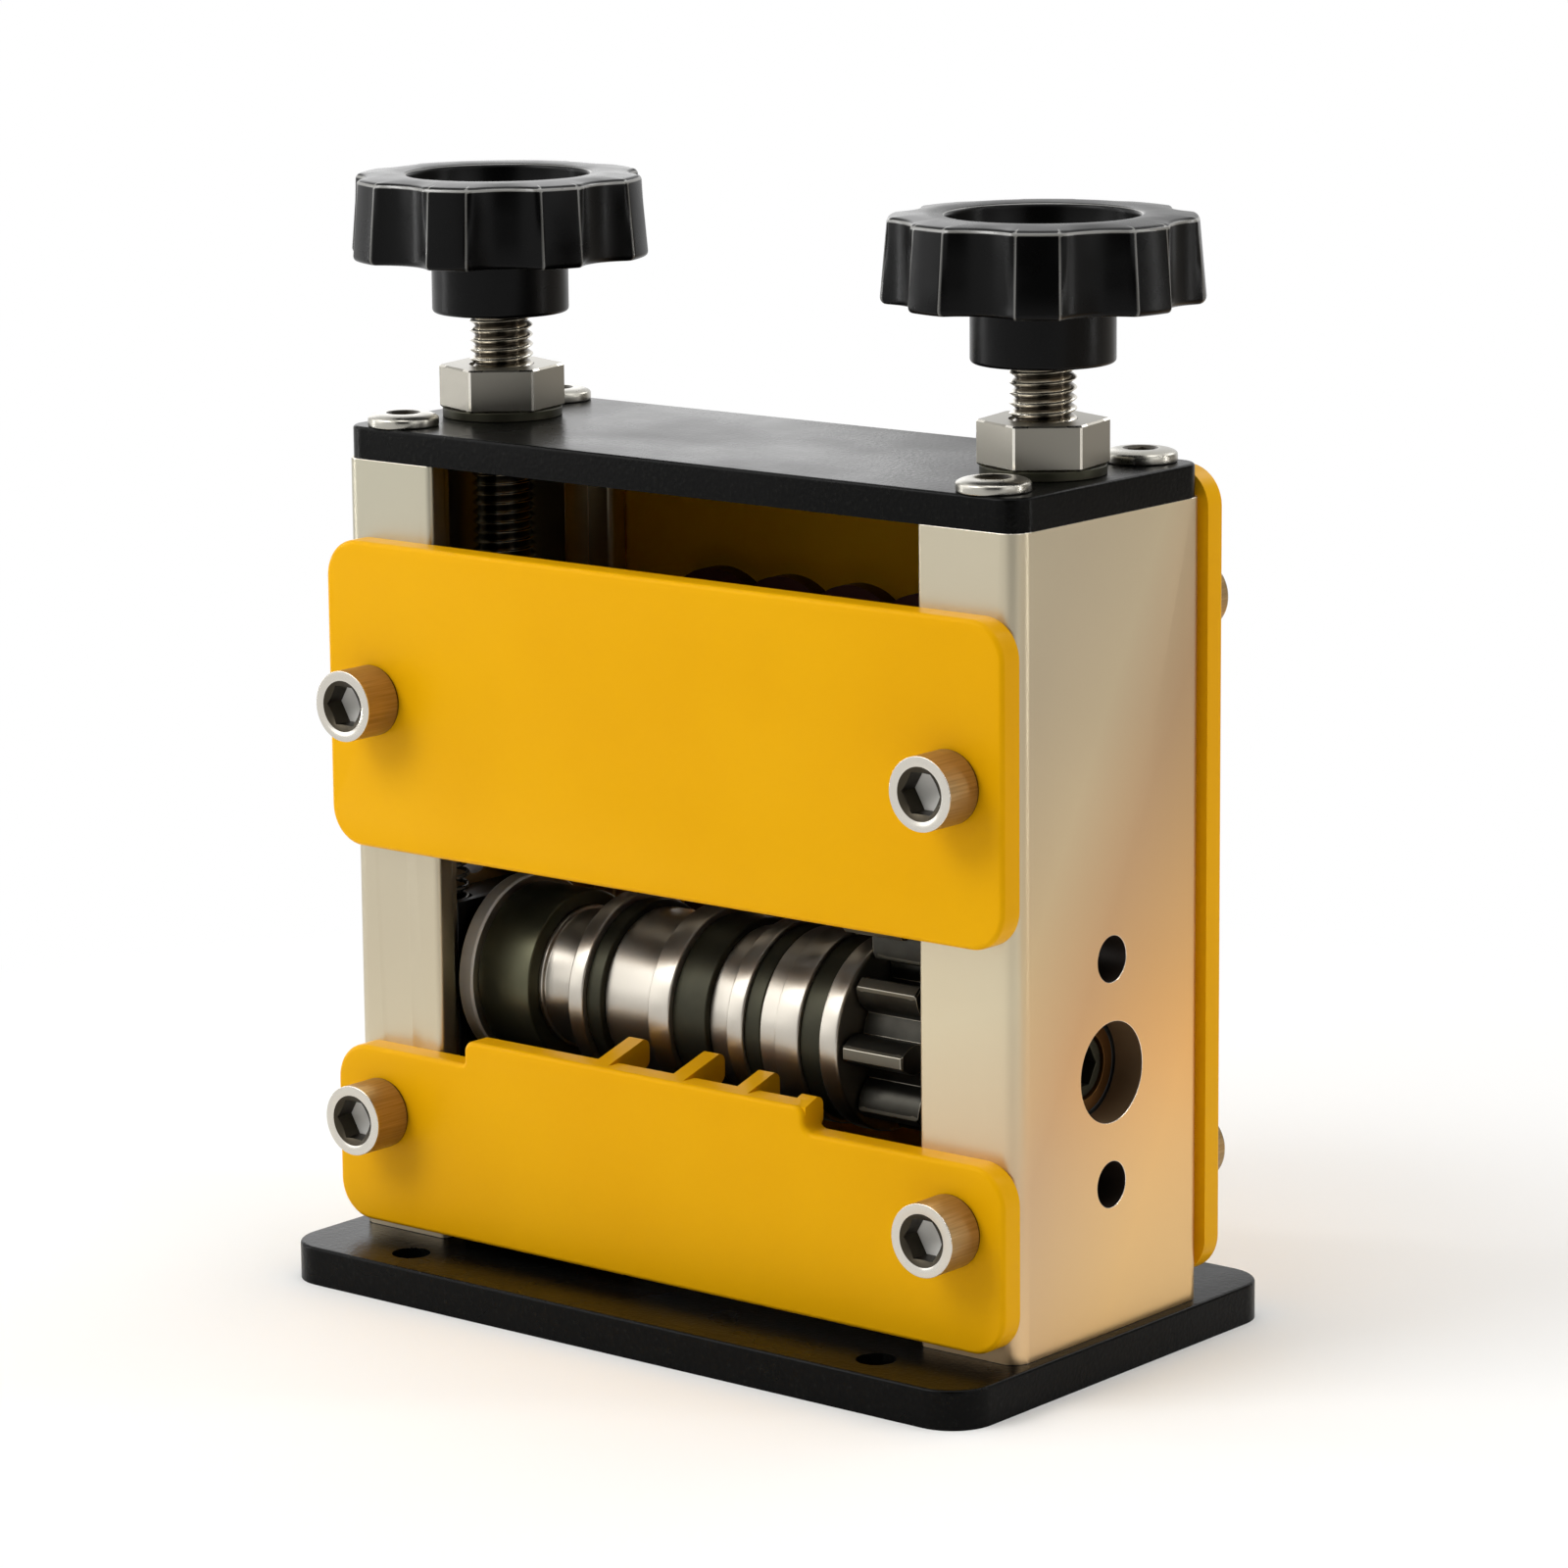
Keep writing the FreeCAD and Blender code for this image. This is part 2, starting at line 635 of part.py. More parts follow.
def comb_guard():
    """Lower guard. Its middle is raised, and fingers reach back from it between the feed wheels."""
    body = new_body("front_comb_guard")
    half = dim.guard_width / 2
    shoulder = comb_low + dim.comb_shoulder
    crest = shoulder + dim.comb_rise
    sketch = new_sketch(body, "XZ", half_depth)
    outline(sketch, [(-half, comb_low), (half, comb_low), (half, shoulder), (dim.comb_right, shoulder),
                     (dim.comb_right, crest), (-dim.comb_left, crest), (-dim.comb_left, shoulder),
                     (-half, shoulder)])
    pad(body, sketch, dim.guard_thick)
    ends = half.value - 0.01
    high = crest.value - 0.01
    soften(body, dim.guard_corner, lambda e: runs(e, "y") and abs(middle(e).x) > ends)
    soften(body, dim.notch_round, lambda e: runs(e, "y") and inside(e) and middle(e).x < 0
           and middle(e).z < high)
    soften(body, dim.comb_round, lambda e: runs(e, "y") and inside(e)
           and (middle(e).x > 0 or middle(e).z > high))
    soften(body, dim.guard_edge, lambda edge: level(edge, "y", -half_depth - dim.guard_thick))
    root = -half_depth - dim.guard_thick + dim.guard_edge
    nose = dim.finger_height * 0.3
    bend = nose * math.sqrt(0.5)
    for place, length in ((dim.finger_one, dim.finger_long), (dim.finger_two, dim.finger_long),
                          (dim.finger_three, dim.finger_middle), (dim.finger_four, dim.finger_short)):
        finger = new_sketch(body, "YZ", place - dim.finger_width / 2)
        tip = -half_depth + length
        reach = (tip - root).value / 10
        top = crest - 0.2 + dim.finger_slope * reach
        low = top - dim.finger_height
        outline(finger, [(root, crest - dim.finger_height), (tip - nose, low), (tip, low + nose),
                         (tip, top - nose), (tip - nose, top), (root, crest - 0.2)],
                {1: ((tip - nose + bend, low + nose - bend), nose),
                 3: ((tip - nose + bend, top - nose + bend), nose)})
        pad(body, finger, dim.finger_width)
    guard_holes(body, half_depth, [comb_screw_z])
    keep(body)


def rear_plate():
    """Feed side: one feed hole behind each wire lane, graded to the lane."""
    body = guard_blank("rear_feed_plate", rear_low, dim.rear_height, -half_depth, backwards=True)
    soften(body, dim.guard_edge, lambda edge: level(edge, "y", half_depth + dim.guard_thick))
    guard_holes(body, -half_depth, rear_screw_levels)
    feed = new_sketch(body, "XZ", -half_depth)
    for name, diameter in zip(LANES, FEED_HOLES):
        circle(feed, lane(name), feed_level, diameter / 2)
    cut(body, feed)
    board = new_sketch(body, "XZ", -half_depth)
    for place in board_screw_places:
        circle(board, place, board_screw_z, dim.keeper_screw / 2 + dim.screw_fit)
    cut(body, board)
    keep(body)


feed_level = drive_z + dim.axis_distance / 2
board_low = base_top + dim.board_bottom
valley = board_low + dim.board_height
board_screw_z = valley - dim.board_screw_drop
board_screw_places = [dim.board_left + dim.scallop_pitch / 2, dim.board_left + dim.scallop_pitch * 4.5]
SCALLOPS = 5


def guide_board():
    """Black board behind the cutters, with cable holes and a scalloped top edge of five flat arcs."""
    body = new_body("rear_guide_board")
    sketch = new_sketch(body, "XZ", -half_depth + dim.board_thick)
    right = dim.board_left + dim.scallop_pitch * SCALLOPS
    points = [(dim.board_left, board_low), (right, board_low)]
    arcs = {}
    half = dim.scallop_pitch.value / 2
    rise = dim.scallop_rise.value
    radius = (half ** 2 + rise ** 2) / (2 * rise)
    for index in range(SCALLOPS):
        start = right - dim.scallop_pitch * index
        arcs[len(points)] = ((start - dim.scallop_pitch / 2, valley + dim.scallop_rise), radius)
        points.append((start, valley))
    points.append((dim.board_left, valley))
    outline(sketch, points, arcs)
    pad(body, sketch, dim.board_thick, backwards=True)
    holes = new_sketch(body, "XZ", -half_depth)
    for place in board_screw_places:
        circle(holes, place, board_screw_z, dim.keeper_screw / 2 + dim.screw_fit)
    for name, diameter in zip(LANES[1:], FEED_HOLES[1:]):
        circle(holes, lane(name), feed_level, dim.board_hole + diameter / 2)
    cut(body, holes)
    keep(body)


# ---- screws -------------------------------------------------------------------------------------

def socket_screw(label, head, height, shank, length, flats, place, turn_axis=None, turn=0, dome=0.4):
    """Cap screw along its own Z. The underside of its head is at z = 0."""
    body = new_body(label, place, turn_axis, turn)
    sketch = new_sketch(body, "XZ")
    rim = head / 2
    stem = shank / 2
    outline(sketch, [(0, -length), (stem - 0.5, -length), (stem, -length + 0.5), (stem, 0), (rim, 0),
                     (rim, height - dome), (rim - dome, height), (0, height)])
    feature = body.newObject("PartDesign::Revolution", f"{label}_turned")
    feature.Profile = sketch
    feature.ReferenceAxis = (sketch, ["V_Axis"])
    feature.Angle = 360
    settle(body, feature)
    socket = new_sketch(body, "XY", height)
    hexagon(socket, flats, 30)
    cut(body, socket, height * 0.55)
    return body


def guard_screws():
    axis = FreeCAD.Vector(1, 0, 0)
    reach = dim.guard_thick + dim.flange_thick - 2
    front = -half_depth - dim.guard_thick
    for label, level_z in (("upper_guard_screws", upper_guard_screw_z), ("comb_guard_screws", comb_screw_z)):
        screw = socket_screw(f"{label}_left", dim.cap_head, dim.cap_height, dim.screw_shank, reach,
                             dim.cap_socket, (-guard_screw_x, front, level_z), axis, 90)
        keep(pair(label, screw))
    rear = []
    for index, level_z in enumerate(rear_screw_levels):
        screw = socket_screw(f"rear_screw_{index + 1}", dim.cap_head, dim.cap_height, dim.screw_shank, reach,
                             dim.cap_socket, (-guard_screw_x, -front, level_z), axis, -90)
        rear += [screw, mirrored(screw, (1, 0, 0), f"rear_screw_{index + 1}_right")]
    keep(group("rear_plate_screws", rear))


def plate_screws():
    screw = socket_screw("top_screw", dim.button_head, dim.button_height, dim.screw_shank,
                         dim.top_thick + dim.screw_reach, dim.button_socket, (-leg_x, -leg_y, plate_top),
                         dome=0.9)
    keep(quad("top_plate_screws", screw))
    axis = FreeCAD.Vector(1, 0, 0)
    reach = dim.base_thick - dim.foot_height + dim.screw_reach
    low = socket_screw("base_screw", dim.foot_head, dim.foot_height, dim.screw_shank, reach,
                       dim.button_socket, (-leg_x, -leg_y, dim.foot_height), axis, 180)
    keep(quad("base_plate_screws", low))
    stem = socket_screw("block_screw", dim.foot_head, dim.foot_height, dim.screw_shank, reach,
                        dim.button_socket, (-block_middle, 0, dim.foot_height), axis, 180)
    keep(pair("lower_block_screws", stem))


def board_screws():
    axis = FreeCAD.Vector(1, 0, 0)
    front = half_depth - dim.board_thick
    screws = []
    for index, place in enumerate(board_screw_places):
        screw = socket_screw(f"board_screw_{index + 1}", dim.keeper_screw * 1.8, dim.small_head, dim.keeper_screw,
                             dim.board_thick + dim.guard_thick, dim.keeper_screw * 0.66,
                             (place, front, board_screw_z), axis, 90)
        screws.append(screw)
    keep(group("guide_board_screws", screws))


# ---- bearing blocks and bushes ------------------------------------------------------------------

def block_blank(label, side, inner, low, high):
    body = new_body(label)
    sketch = new_sketch(body, "XY", low)
    half = slot_half - dim.block_slide
    near, far = sorted([inner * side, (web_face - dim.block_slide) * side], key=lambda place: place.value)
    box_outline(sketch, near, far, -half, half)
    pad(body, sketch, high - low)
    soften(body, dim.edge_break, lambda edge: runs(edge, "z"))
    return body


def bush_bore(body, height):
    bore = new_sketch(body, "YZ")
    circle(bore, 0, height, bush_radius + dim.stack_fit)
    cut(body, bore)


def spring_pockets(body, side, height, backwards):
    pockets = new_sketch(body, "XY", height)
    for front in (-1, 1):
        circle(pockets, block_middle * side, spring_place * front, dim.spring_outer + dim.pocket_fit)
    cut(body, pockets, dim.spring_seat, backwards=backwards)


def lower_block(label, side):
    """Fixed block on the base plate, in the foot of the guide slot."""
    top = drive_z + dim.lower_block_top
    body = block_blank(label, side, web_face - dim.lower_block, base_top, top)
    bush_bore(body, drive_z)
    spring_pockets(body, side, top, False)
    screw = new_sketch(body, "XY", base_top)
    circle(screw, block_middle * side, 0, screw_hole)
    cut(body, screw, dim.screw_reach + 1, backwards=True)
    keep(body)


block_low = cutter_z - dim.upper_block_down
block_top = cutter_z + dim.upper_block_up
toe_floor = block_top - dim.toe_height - dim.toe_gap * 2
keeper_hole = spring_place


def upper_block(label, side):
    """Sliding block. The toe of the adjusting screw sits in its top, under a keeper plate."""
    body = block_blank(label, side, inner_face, block_low, block_top)
    bush_bore(body, cutter_z)
    spring_pockets(body, side, block_low, True)
    toe = new_sketch(body, "XY", block_top)
    circle(toe, dim.knob_axis * side, 0, dim.toe_radius + dim.toe_side)
    cut(body, toe, block_top - toe_floor)
    screws = new_sketch(body, "XY", block_top)
    for front in (-1, 1):
        circle(screws, block_middle * side, keeper_hole * front, dim.keeper_screw / 2 + dim.screw_fit)
    cut(body, screws, dim.keeper_grip + 1)
    keep(body)


def keepers():
    """Slotted keeper plate over the toe of each screw, and its two small screws."""
    body = new_body("keeper_left")
    sketch = new_sketch(body, "XY", block_top)
    half = slot_half - dim.block_slide * 2
    neck = dim.neck_radius + dim.toe_side
    far, mouth = -web_face + dim.block_slide, -inner_face
    box_outline(sketch, far, mouth, -half, half)
    pad(body, sketch, dim.keeper_thick)
    slot = new_sketch(body, "XY", block_top)
    box_outline(slot, -dim.knob_axis, mouth + 1, -neck, neck)
    cut(body, slot)
    end = new_sketch(body, "XY", block_top)
    circle(end, -dim.knob_axis, 0, neck)
    cut(body, end)
    holes = new_sketch(body, "XY", block_top)
    for front in (-1, 1):
        circle(holes, -block_middle, keeper_hole * front, dim.keeper_screw / 2 + dim.screw_fit)
    cut(body, holes)
    keep(pair("screw_keepers", body))
    screw = socket_screw("keeper_screw_left", dim.keeper_screw * 1.8, dim.small_head, dim.keeper_screw,
                         dim.keeper_thick + dim.keeper_grip, dim.keeper_screw * 0.66,
                         (-block_middle, -keeper_hole, block_top + dim.keeper_thick))
    keep(quad("keeper_screws", screw))


def bush(label, near, far, height):
    """Plain bronze bush pressed in a block."""
    inner = shaft_radius + dim.bush_fit
    points = [(near, inner), (far, inner), (far, bush_radius), (near, bush_radius)]
    return turned(f"{label}_left", points, (0, 0, height))


def bushes():
    low = bush("lower_bush", -web_face + dim.block_slide, -web_face + dim.lower_block, drive_z)
    keep(pair("lower_bushes", low))
    high = bush("upper_bush", -web_face + dim.block_slide, -inner_face, cutter_z)
    keep(pair("upper_bushes", high))


def return_springs():
    """Four small springs hold the upper blocks up against the adjusting screws."""
    low = drive_z + dim.lower_block_top - dim.spring_seat
    high = block_low + dim.spring_seat
    coil = new_body("spring_left", (-block_middle, -spring_place, low))
    sketch = new_sketch(coil, "XY")
    circle(sketch, 0, 0, dim.spring_outer)
    circle(sketch, 0, 0, dim.spring_outer - dim.spring_wire)
    pad(coil, sketch, high - low)
    keep(quad("return_springs", coil))


# ---- shafts and what turns with them ------------------------------------------------------------

def key_slot(body, low, high, near, far):
    """Slot along X over the shaft, between two radii."""
    sketch = new_sketch(body, "XY", high)
    half = dim.key_width / 2 + dim.key_gap
    box_outline(sketch, near, far, -half, half)
    cut(body, sketch, high - low)


def flange(start, stop, radius):
    """Corners of a flange with small chamfers."""
    soft = dim.wheel_chamfer
    return [(start, radius - soft), (start + soft, radius), (stop - soft, radius), (stop, radius - soft)]


def shaft(label, height, raised, clip_at):
    """Turned shaft. raised lists the corners of its flange, and a ring groove is at the right end."""
    end = web_face - dim.shaft_gap
    bevel = dim.edge_break
    seat = dim.clip_seat
    start, stop = raised[0][0], raised[-1][0]
    points = [(-end, 0), (-end, shaft_radius - bevel), (-end + bevel, shaft_radius), (start, shaft_radius)]
    points += raised
    points += [(stop, shaft_radius), (clip_at, shaft_radius), (clip_at, seat),
               (clip_at + dim.clip_thick, seat), (clip_at + dim.clip_thick, shaft_radius),
               (end - bevel, shaft_radius), (end, shaft_radius - bevel), (end, 0)]
    body = turned(label, points, (0, 0, height))
    key_slot(body, shaft_radius - dim.key_seat, shaft_radius, stop, gear_end)
    return body


def key(label, height, start):
    low = shaft_radius - dim.key_seat
    piece = doc.addObject("Part::Box", label)
    piece.Label = label
    bind(piece, "Length", gear_end - start - dim.key_gap * 2)
    bind(piece, "Width", dim.key_width)
    bind(piece, "Height", dim.key_width - dim.key_gap)
    bind(piece, "Placement.Base.x", start + dim.key_gap)
    bind(piece, "Placement.Base.y", -dim.key_width / 2)
    bind(piece, "Placement.Base.z", height + low)
    keep(piece)


def wheel(label, height, profile):
    """Turned ring on a shaft. profile lists (x, radius) of its outside from left to right."""
    bore = shaft_radius + dim.stack_fit
    start, end = profile[0][0], profile[-1][0]
    soft = dim.wheel_chamfer
    points = [(start, bore)]
    last = len(profile) - 1
    for index, (x, radius) in enumerate(profile):
        outer_corner_left = index % 2 == 0 and (index == 0 or profile[index - 1][1].value < radius.value)
        outer_corner_right = index % 2 == 1 and (index == last or profile[index + 1][1].value < radius.value)
        if outer_corner_left:
            points += [(x, radius - soft), (x + soft, radius)]
        elif outer_corner_right:
            points += [(x - soft, radius), (x, radius - soft)]
        else:
            points.append((x, radius))
    points.append((end, bore))
    body = turned(label, points, (0, 0, height))
    slot_top = shaft_radius - dim.key_seat + dim.key_width + dim.key_gap
    key_slot(body, as_size(0), slot_top, start, end)
    return keep(body)


def step(name, radius):
    """Both outside corners of one station of the drive stack."""
    start = station[name]
    return [(start, radius), (start + getattr(dim, name), radius)]


def drive_stack():
    collar = [(collar_start, dim.collar_radius), (flange_start, dim.collar_radius)]
    body = shaft("drive_shaft", drive_z, collar + flange(flange_start, station["flange"], dim.rim_radius),
                 drive_clip)
    socket = new_sketch(body, "YZ", web_face - dim.shaft_gap)
    hexagon(socket, dim.socket_flats)
    cut(body, socket, dim.socket_depth)
    socket = new_sketch(body, "YZ", -web_face + dim.shaft_gap)
    hexagon(socket, dim.socket_flats)
    cut(body, socket, dim.socket_depth, backwards=True)
    keep(body)
    key("drive_key", drive_z, station["flange"])
    groove = dim.groove_radius
    rim = dim.rim_radius
    lip_end = station["hub_groove"] + dim.lip_width
    lip = [(station["hub_groove"], dim.lip_radius), (lip_end, dim.lip_radius)]
    neck = [(lip_end, dim.deep_groove), (station["rim_two"], dim.deep_groove)]
    wheel("anvil_roller_1", drive_z, step("wide_anvil", dim.anvil_radius))
    wheel("feed_wheel_2", drive_z, lip + neck + step("rim_two", rim))
    wheel("cheek_ring_2", drive_z, step("cheek_two", dim.cheek_radius))
    wheel("feed_wheel_3", drive_z, step("groove_three", groove) + step("rim_three", rim))
    wheel("cheek_ring_3", drive_z, step("cheek_three", dim.cheek_radius))
    wheel("feed_wheel_4", drive_z, step("groove_four", groove) + step("rim_four", rim))
    wheel("anvil_ring_5", drive_z, step("anvil_five", dim.narrow_anvil))
    wheel("feed_wheel_5", drive_z, step("step_five", dim.step_radius) + step("rim_five", rim))
    wheel("anvil_ring_6", drive_z, step("anvil_six", dim.narrow_anvil))
    wheel("feed_wheel_6", drive_z, step("rim_six", rim))


drive_clip = web_face - dim.lower_block - dim.block_gap - dim.clip_thick
cutter_clip = inner_face - dim.block_gap - dim.clip_thick


def retaining_ring(label, start, height):
    """Open spring ring in its groove. The gap is at the bottom."""
    seat = dim.clip_seat + dim.stack_fit
    thick = dim.clip_thick - dim.stack_fit
    body = turned(label, [(start, seat), (start + thick, seat), (start + thick, dim.clip_radius),
                          (start, dim.clip_radius)], (0, 0, height))
    gap = new_sketch(body, "YZ", start + thick)
    box_outline(gap, -dim.key_width / 2, dim.key_width / 2, -dim.clip_radius - 1, 0)
    cut(body, gap, dim.clip_thick)
    keep(body)


def sleeve(label, start, end, height):
    """Plain distance sleeve between the gear and the retaining ring."""
    inner = shaft_radius + dim.stack_fit
    outer = dim.collar_radius
    keep(turned(label, [(start, inner), (end, inner), (end, outer), (start, outer)], (0, 0, height)))


# ---- gears --------------------------------------------------------------------------------------

def involute(base, radius):
    """Polar angle of an involute of the base circle at a radius, in radians."""
    pressure = math.acos(base / radius)
    return math.tan(pressure) - pressure


def gear(label, height, teeth, first_space):
    """Spur gear with stub involute teeth. first_space is the angle of a tooth space from +Y."""
    pitch = dim.gear_module.value * teeth / 2
    tip = pitch + dim.gear_addendum.value
    root = pitch - dim.gear_dedendum.value
    base = pitch * math.cos(math.radians(dim.gear_angle.value))
    body = new_body(label, (0, 0, height))
    blank = new_sketch(body, "YZ", gear_start)
    circle(blank, 0, 0, dim.gear_module * (teeth / 2) + dim.gear_addendum)
    circle(blank, 0, 0, shaft_radius + dim.stack_fit)
    pad(body, blank, dim.gear_width)
    boss = new_sketch(body, "YZ", stack_end)
    circle(boss, 0, 0, dim.collar_radius)
    circle(boss, 0, 0, shaft_radius + dim.stack_fit)
    pad(body, boss, dim.gear_gap)
    thinning = dim.gear_backlash.value / 2 / pitch
    half_space = math.pi / teeth / 2 + thinning
    start = max(base, root) + 0.001
    over = tip + 0.6
    radii = [start + (over - start) * step / (FLANK_POINTS - 1) for step in range(FLANK_POINTS)]
    turn = math.radians(first_space)
    flank = [(r, half_space + involute(base, r) - involute(base, pitch)) for r in radii]
    right = [polar(r, turn + a) for r, a in flank]
    left = [polar(r, turn - a) for r, a in flank]
    foot = flank[0][1]
    space = new_sketch(body, "YZ", gear_end)
    right_curve = Part.BSplineCurve()
    right_curve.interpolate([vector(point) for point in right])
    left_curve = Part.BSplineCurve()
    left_curve.interpolate([vector(point) for point in left])
    space.addGeometry(right_curve)
    space.addGeometry(left_curve)
    low_right = polar(root, turn + foot)
    low_left = polar(root, turn - foot)
    high_right = polar(over * 1.3, turn + flank[-1][1])
    high_left = polar(over * 1.3, turn - flank[-1][1])
    sides = [(low_left, left[0]), (low_right, right[0]), (left[-1], high_left), (high_left, high_right),
             (high_right, right[-1])]
    for start_point, end_point in sides:
        space.addGeometry(Part.LineSegment(vector(start_point), vector(end_point)))
    floor, _ = arc_through(vector(low_left), vector(polar(root, turn)), vector(low_right))
    space.addGeometry(floor)
    one = cut(body, space, dim.gear_width)
    around(body, one, "X", teeth)
    slot_top = shaft_radius - dim.key_seat + dim.key_width + dim.key_gap
    key_slot(body, as_size(0), slot_top, stack_end, gear_end)
    soften(body, dim.wheel_chamfer, lambda e: is_tip_arc(e, tip), "Chamfer")
    keep(body)


def polar(radius, angle):
    return (radius * math.cos(angle), radius * math.sin(angle))


def is_tip_arc(edge, tip):
    return isinstance(edge.Curve, Part.Circle) and abs(edge.Curve.Radius - tip) < 1e-3


# ---- cutter shaft -------------------------------------------------------------------------------

flange_left = -inner_face + dim.block_gap


def cutter_stack():
    flange_right = lane(LANES[0]) - dim.blade_thick / 2
    keep(shaft("cutter_shaft", cutter_z, flange(flange_left, flange_right, dim.spacer_radius), cutter_clip))
    key("cutter_key", cutter_z, flange_right)
    bore = shaft_radius + dim.stack_fit
    half = dim.blade_thick / 2
    slot_top = shaft_radius - dim.key_seat + dim.key_width + dim.key_gap
    spacers = []
    for index, name in enumerate(LANES):
        middle_x = lane(name)
        shoulder = dim.blade_radius - dim.blade_bevel
        points = [(middle_x - half, bore), (middle_x - half, shoulder),
                  (middle_x - half * 0.1, dim.blade_radius), (middle_x + half * 0.1, dim.blade_radius),
                  (middle_x + half, shoulder), (middle_x + half, bore)]
        blade = turned(f"cutter_blade_{index + 1}", points, (0, 0, cutter_z))
        key_slot(blade, as_size(0), slot_top, middle_x - half, middle_x + half)
        keep(blade)
        start = middle_x + half
        end = lane(LANES[index + 1]) - half if index + 1 < len(LANES) else stack_end
        spacer = turned(f"blade_spacer_{index + 1}", [(start, bore), (end, bore), (end, dim.spacer_radius),
                                                      (start, dim.spacer_radius)], (0, 0, cutter_z))
        key_slot(spacer, as_size(0), slot_top, start, end)
        spacers.append(spacer)
    keep(group("blade_spacers", spacers))


# ---- adjusting screws, lock nuts and knobs ------------------------------------------------------

dish_floor = hub_bottom + dim.hub_height + dim.knob_height - dim.dish_depth


def adjusting_screw(label, side):
    """Screw with a necked toe that turns in the upper block."""
    low = toe_floor + dim.toe_gap
    high = dish_floor + dim.knob_nut_height + 0.6
    thread = dim.adjuster / 2
    neck_top = block_top + dim.keeper_thick + dim.toe_gap
    points = [(0, low), (dim.toe_radius, low), (dim.toe_radius, low + dim.toe_height),
              (dim.neck_radius, low + dim.toe_height), (dim.neck_radius, neck_top), (thread - 0.8, neck_top),
              (thread, neck_top + 0.8), (thread, high - 0.6), (thread - 0.6, high), (0, high)]
    keep(turned(label, points, (dim.knob_axis * side, 0, 0), "V_Axis"))


def six_flats(body, flats, low, height):
    """Cut a turned blank to a hexagon."""
    sketch = new_sketch(body, "XY", low)
    far = flats * 0.75
    box_outline(sketch, flats / 2, far, -far, far)
    flat = cut(body, sketch, height, backwards=True)
    around(body, flat, "Z", 6)


def nut_profile(flats, low, height, bore):
    """Blank of a nut: over its corners, with 30 degree chamfers top and bottom."""
    corner = flats / math.sqrt(3)
    face = flats * 0.475
    drop = (corner - face) * math.tan(math.radians(30))
    return [(bore + 0.5, low), (face, low), (corner, low + drop), (corner, low + height - drop),
            (face, low + height), (bore + 0.5, low + height), (bore, low + height - 0.5), (bore, low + 0.5)]


def lock_nut(label, side):
    bore = dim.adjuster / 2 + dim.adjuster_fit
    points = nut_profile(dim.nut_flats, nut_bottom, dim.nut_height, bore)
    body = turned(label, points, (dim.knob_axis * side, 0, 0), "V_Axis")
    six_flats(body, dim.nut_flats, nut_bottom, dim.nut_height)
    body.Placement.Rotation = FreeCAD.Rotation(FreeCAD.Vector(0, 0, 1), dim.nut_turn.value - 90)
    keep(body)


def lock_washers():
    hole = dim.adjuster / 2 + dim.adjuster_fit * 2
    points = [(hole, plate_top), (dim.washer_radius, plate_top), (dim.washer_radius, nut_bottom),
              (hole, nut_bottom)]
    washer = turned("washer_left", points, (-dim.knob_axis, 0, 0), "V_Axis")
    keep(pair("lock_washers", washer))


def star_knob(label, side, turn):
    """Moulded knob: hub, drafted rim with finger flutes, and a dished top."""
    bore = dim.adjuster / 2 + dim.stack_fit
    soft = dim.knob_round
    rim_low = hub_bottom + dim.hub_height
    rim_high = rim_low + dim.knob_height
    small = dim.knob_radius - dim.knob_draft
    points = [(bore, hub_bottom), (dim.hub_radius - soft, hub_bottom), (dim.hub_radius, hub_bottom + soft),
              (dim.hub_radius, rim_low), (dim.knob_radius - soft, rim_low),
              (dim.knob_radius, rim_low + soft), (small, rim_high - soft), (small - soft, rim_high),
              (dim.dish_radius + soft, rim_high), (dim.dish_radius, rim_high - soft),
              (dim.dish_radius - 0.5, dish_floor), (bore, dish_floor)]
    body = turned(label, points, (dim.knob_axis * side, 0, 0), "V_Axis")
    flute = new_sketch(body, "XY", rim_low - 1)
    half_step = math.pi / dim.lobes.value
    reach = dim.knob_radius + dim.flute_radius - dim.flute_depth
    circle(flute, reach * math.cos(half_step), reach * math.sin(half_step), dim.flute_radius)
    one = cut(body, flute, dim.knob_height + 2, backwards=True)
    around(body, one, "Z", int(dim.lobes.value))
    body.Placement.Rotation = FreeCAD.Rotation(FreeCAD.Vector(0, 0, 1), turn.value - 90)
    keep(body)


def knob_nut(label, side, turn):
    """Thin nut that clamps the knob on its screw, in the dish."""
    bore = dim.adjuster / 2 + dim.stack_fit
    points = nut_profile(dim.nut_flats, dish_floor, dim.knob_nut_height, bore)
    body = turned(label, points, (dim.knob_axis * side, 0, 0), "V_Axis")
    six_flats(body, dim.nut_flats, dish_floor, dim.knob_nut_height)
    body.Placement.Rotation = FreeCAD.Rotation(FreeCAD.Vector(0, 0, 1), turn.value)
    keep(body)


# ---- assembly -----------------------------------------------------------------------------------

base_plate()
side_channel("left_side_channel", -1)
side_channel("right_side_channel", 1)
top_plate()
upper_guard()
comb_guard()
rear_plate()
guide_board()
guard_screws()
plate_screws()
board_screws()
lower_block("left_lower_block", -1)
lower_block("right_lower_block", 1)
upper_block("left_upper_block", -1)
upper_block("right_upper_block", 1)
keepers()
bushes()
return_springs()
drive_stack()
sleeve("drive_sleeve", gear_end, drive_clip, drive_z)
retaining_ring("drive_retaining_ring", drive_clip, drive_z)
gear("drive_gear", drive_z, DRIVE_TEETH, 90 + 180 / DRIVE_TEETH + dim.gear_turn.value)
cutter_stack()
sleeve("cutter_sleeve", gear_end, cutter_clip, cutter_z)
retaining_ring("cutter_retaining_ring", cutter_clip, cutter_z)
gear("cutter_gear", cutter_z, CUTTER_TEETH, 270 - dim.gear_turn.value * DRIVE_TEETH / CUTTER_TEETH)
lock_washers()
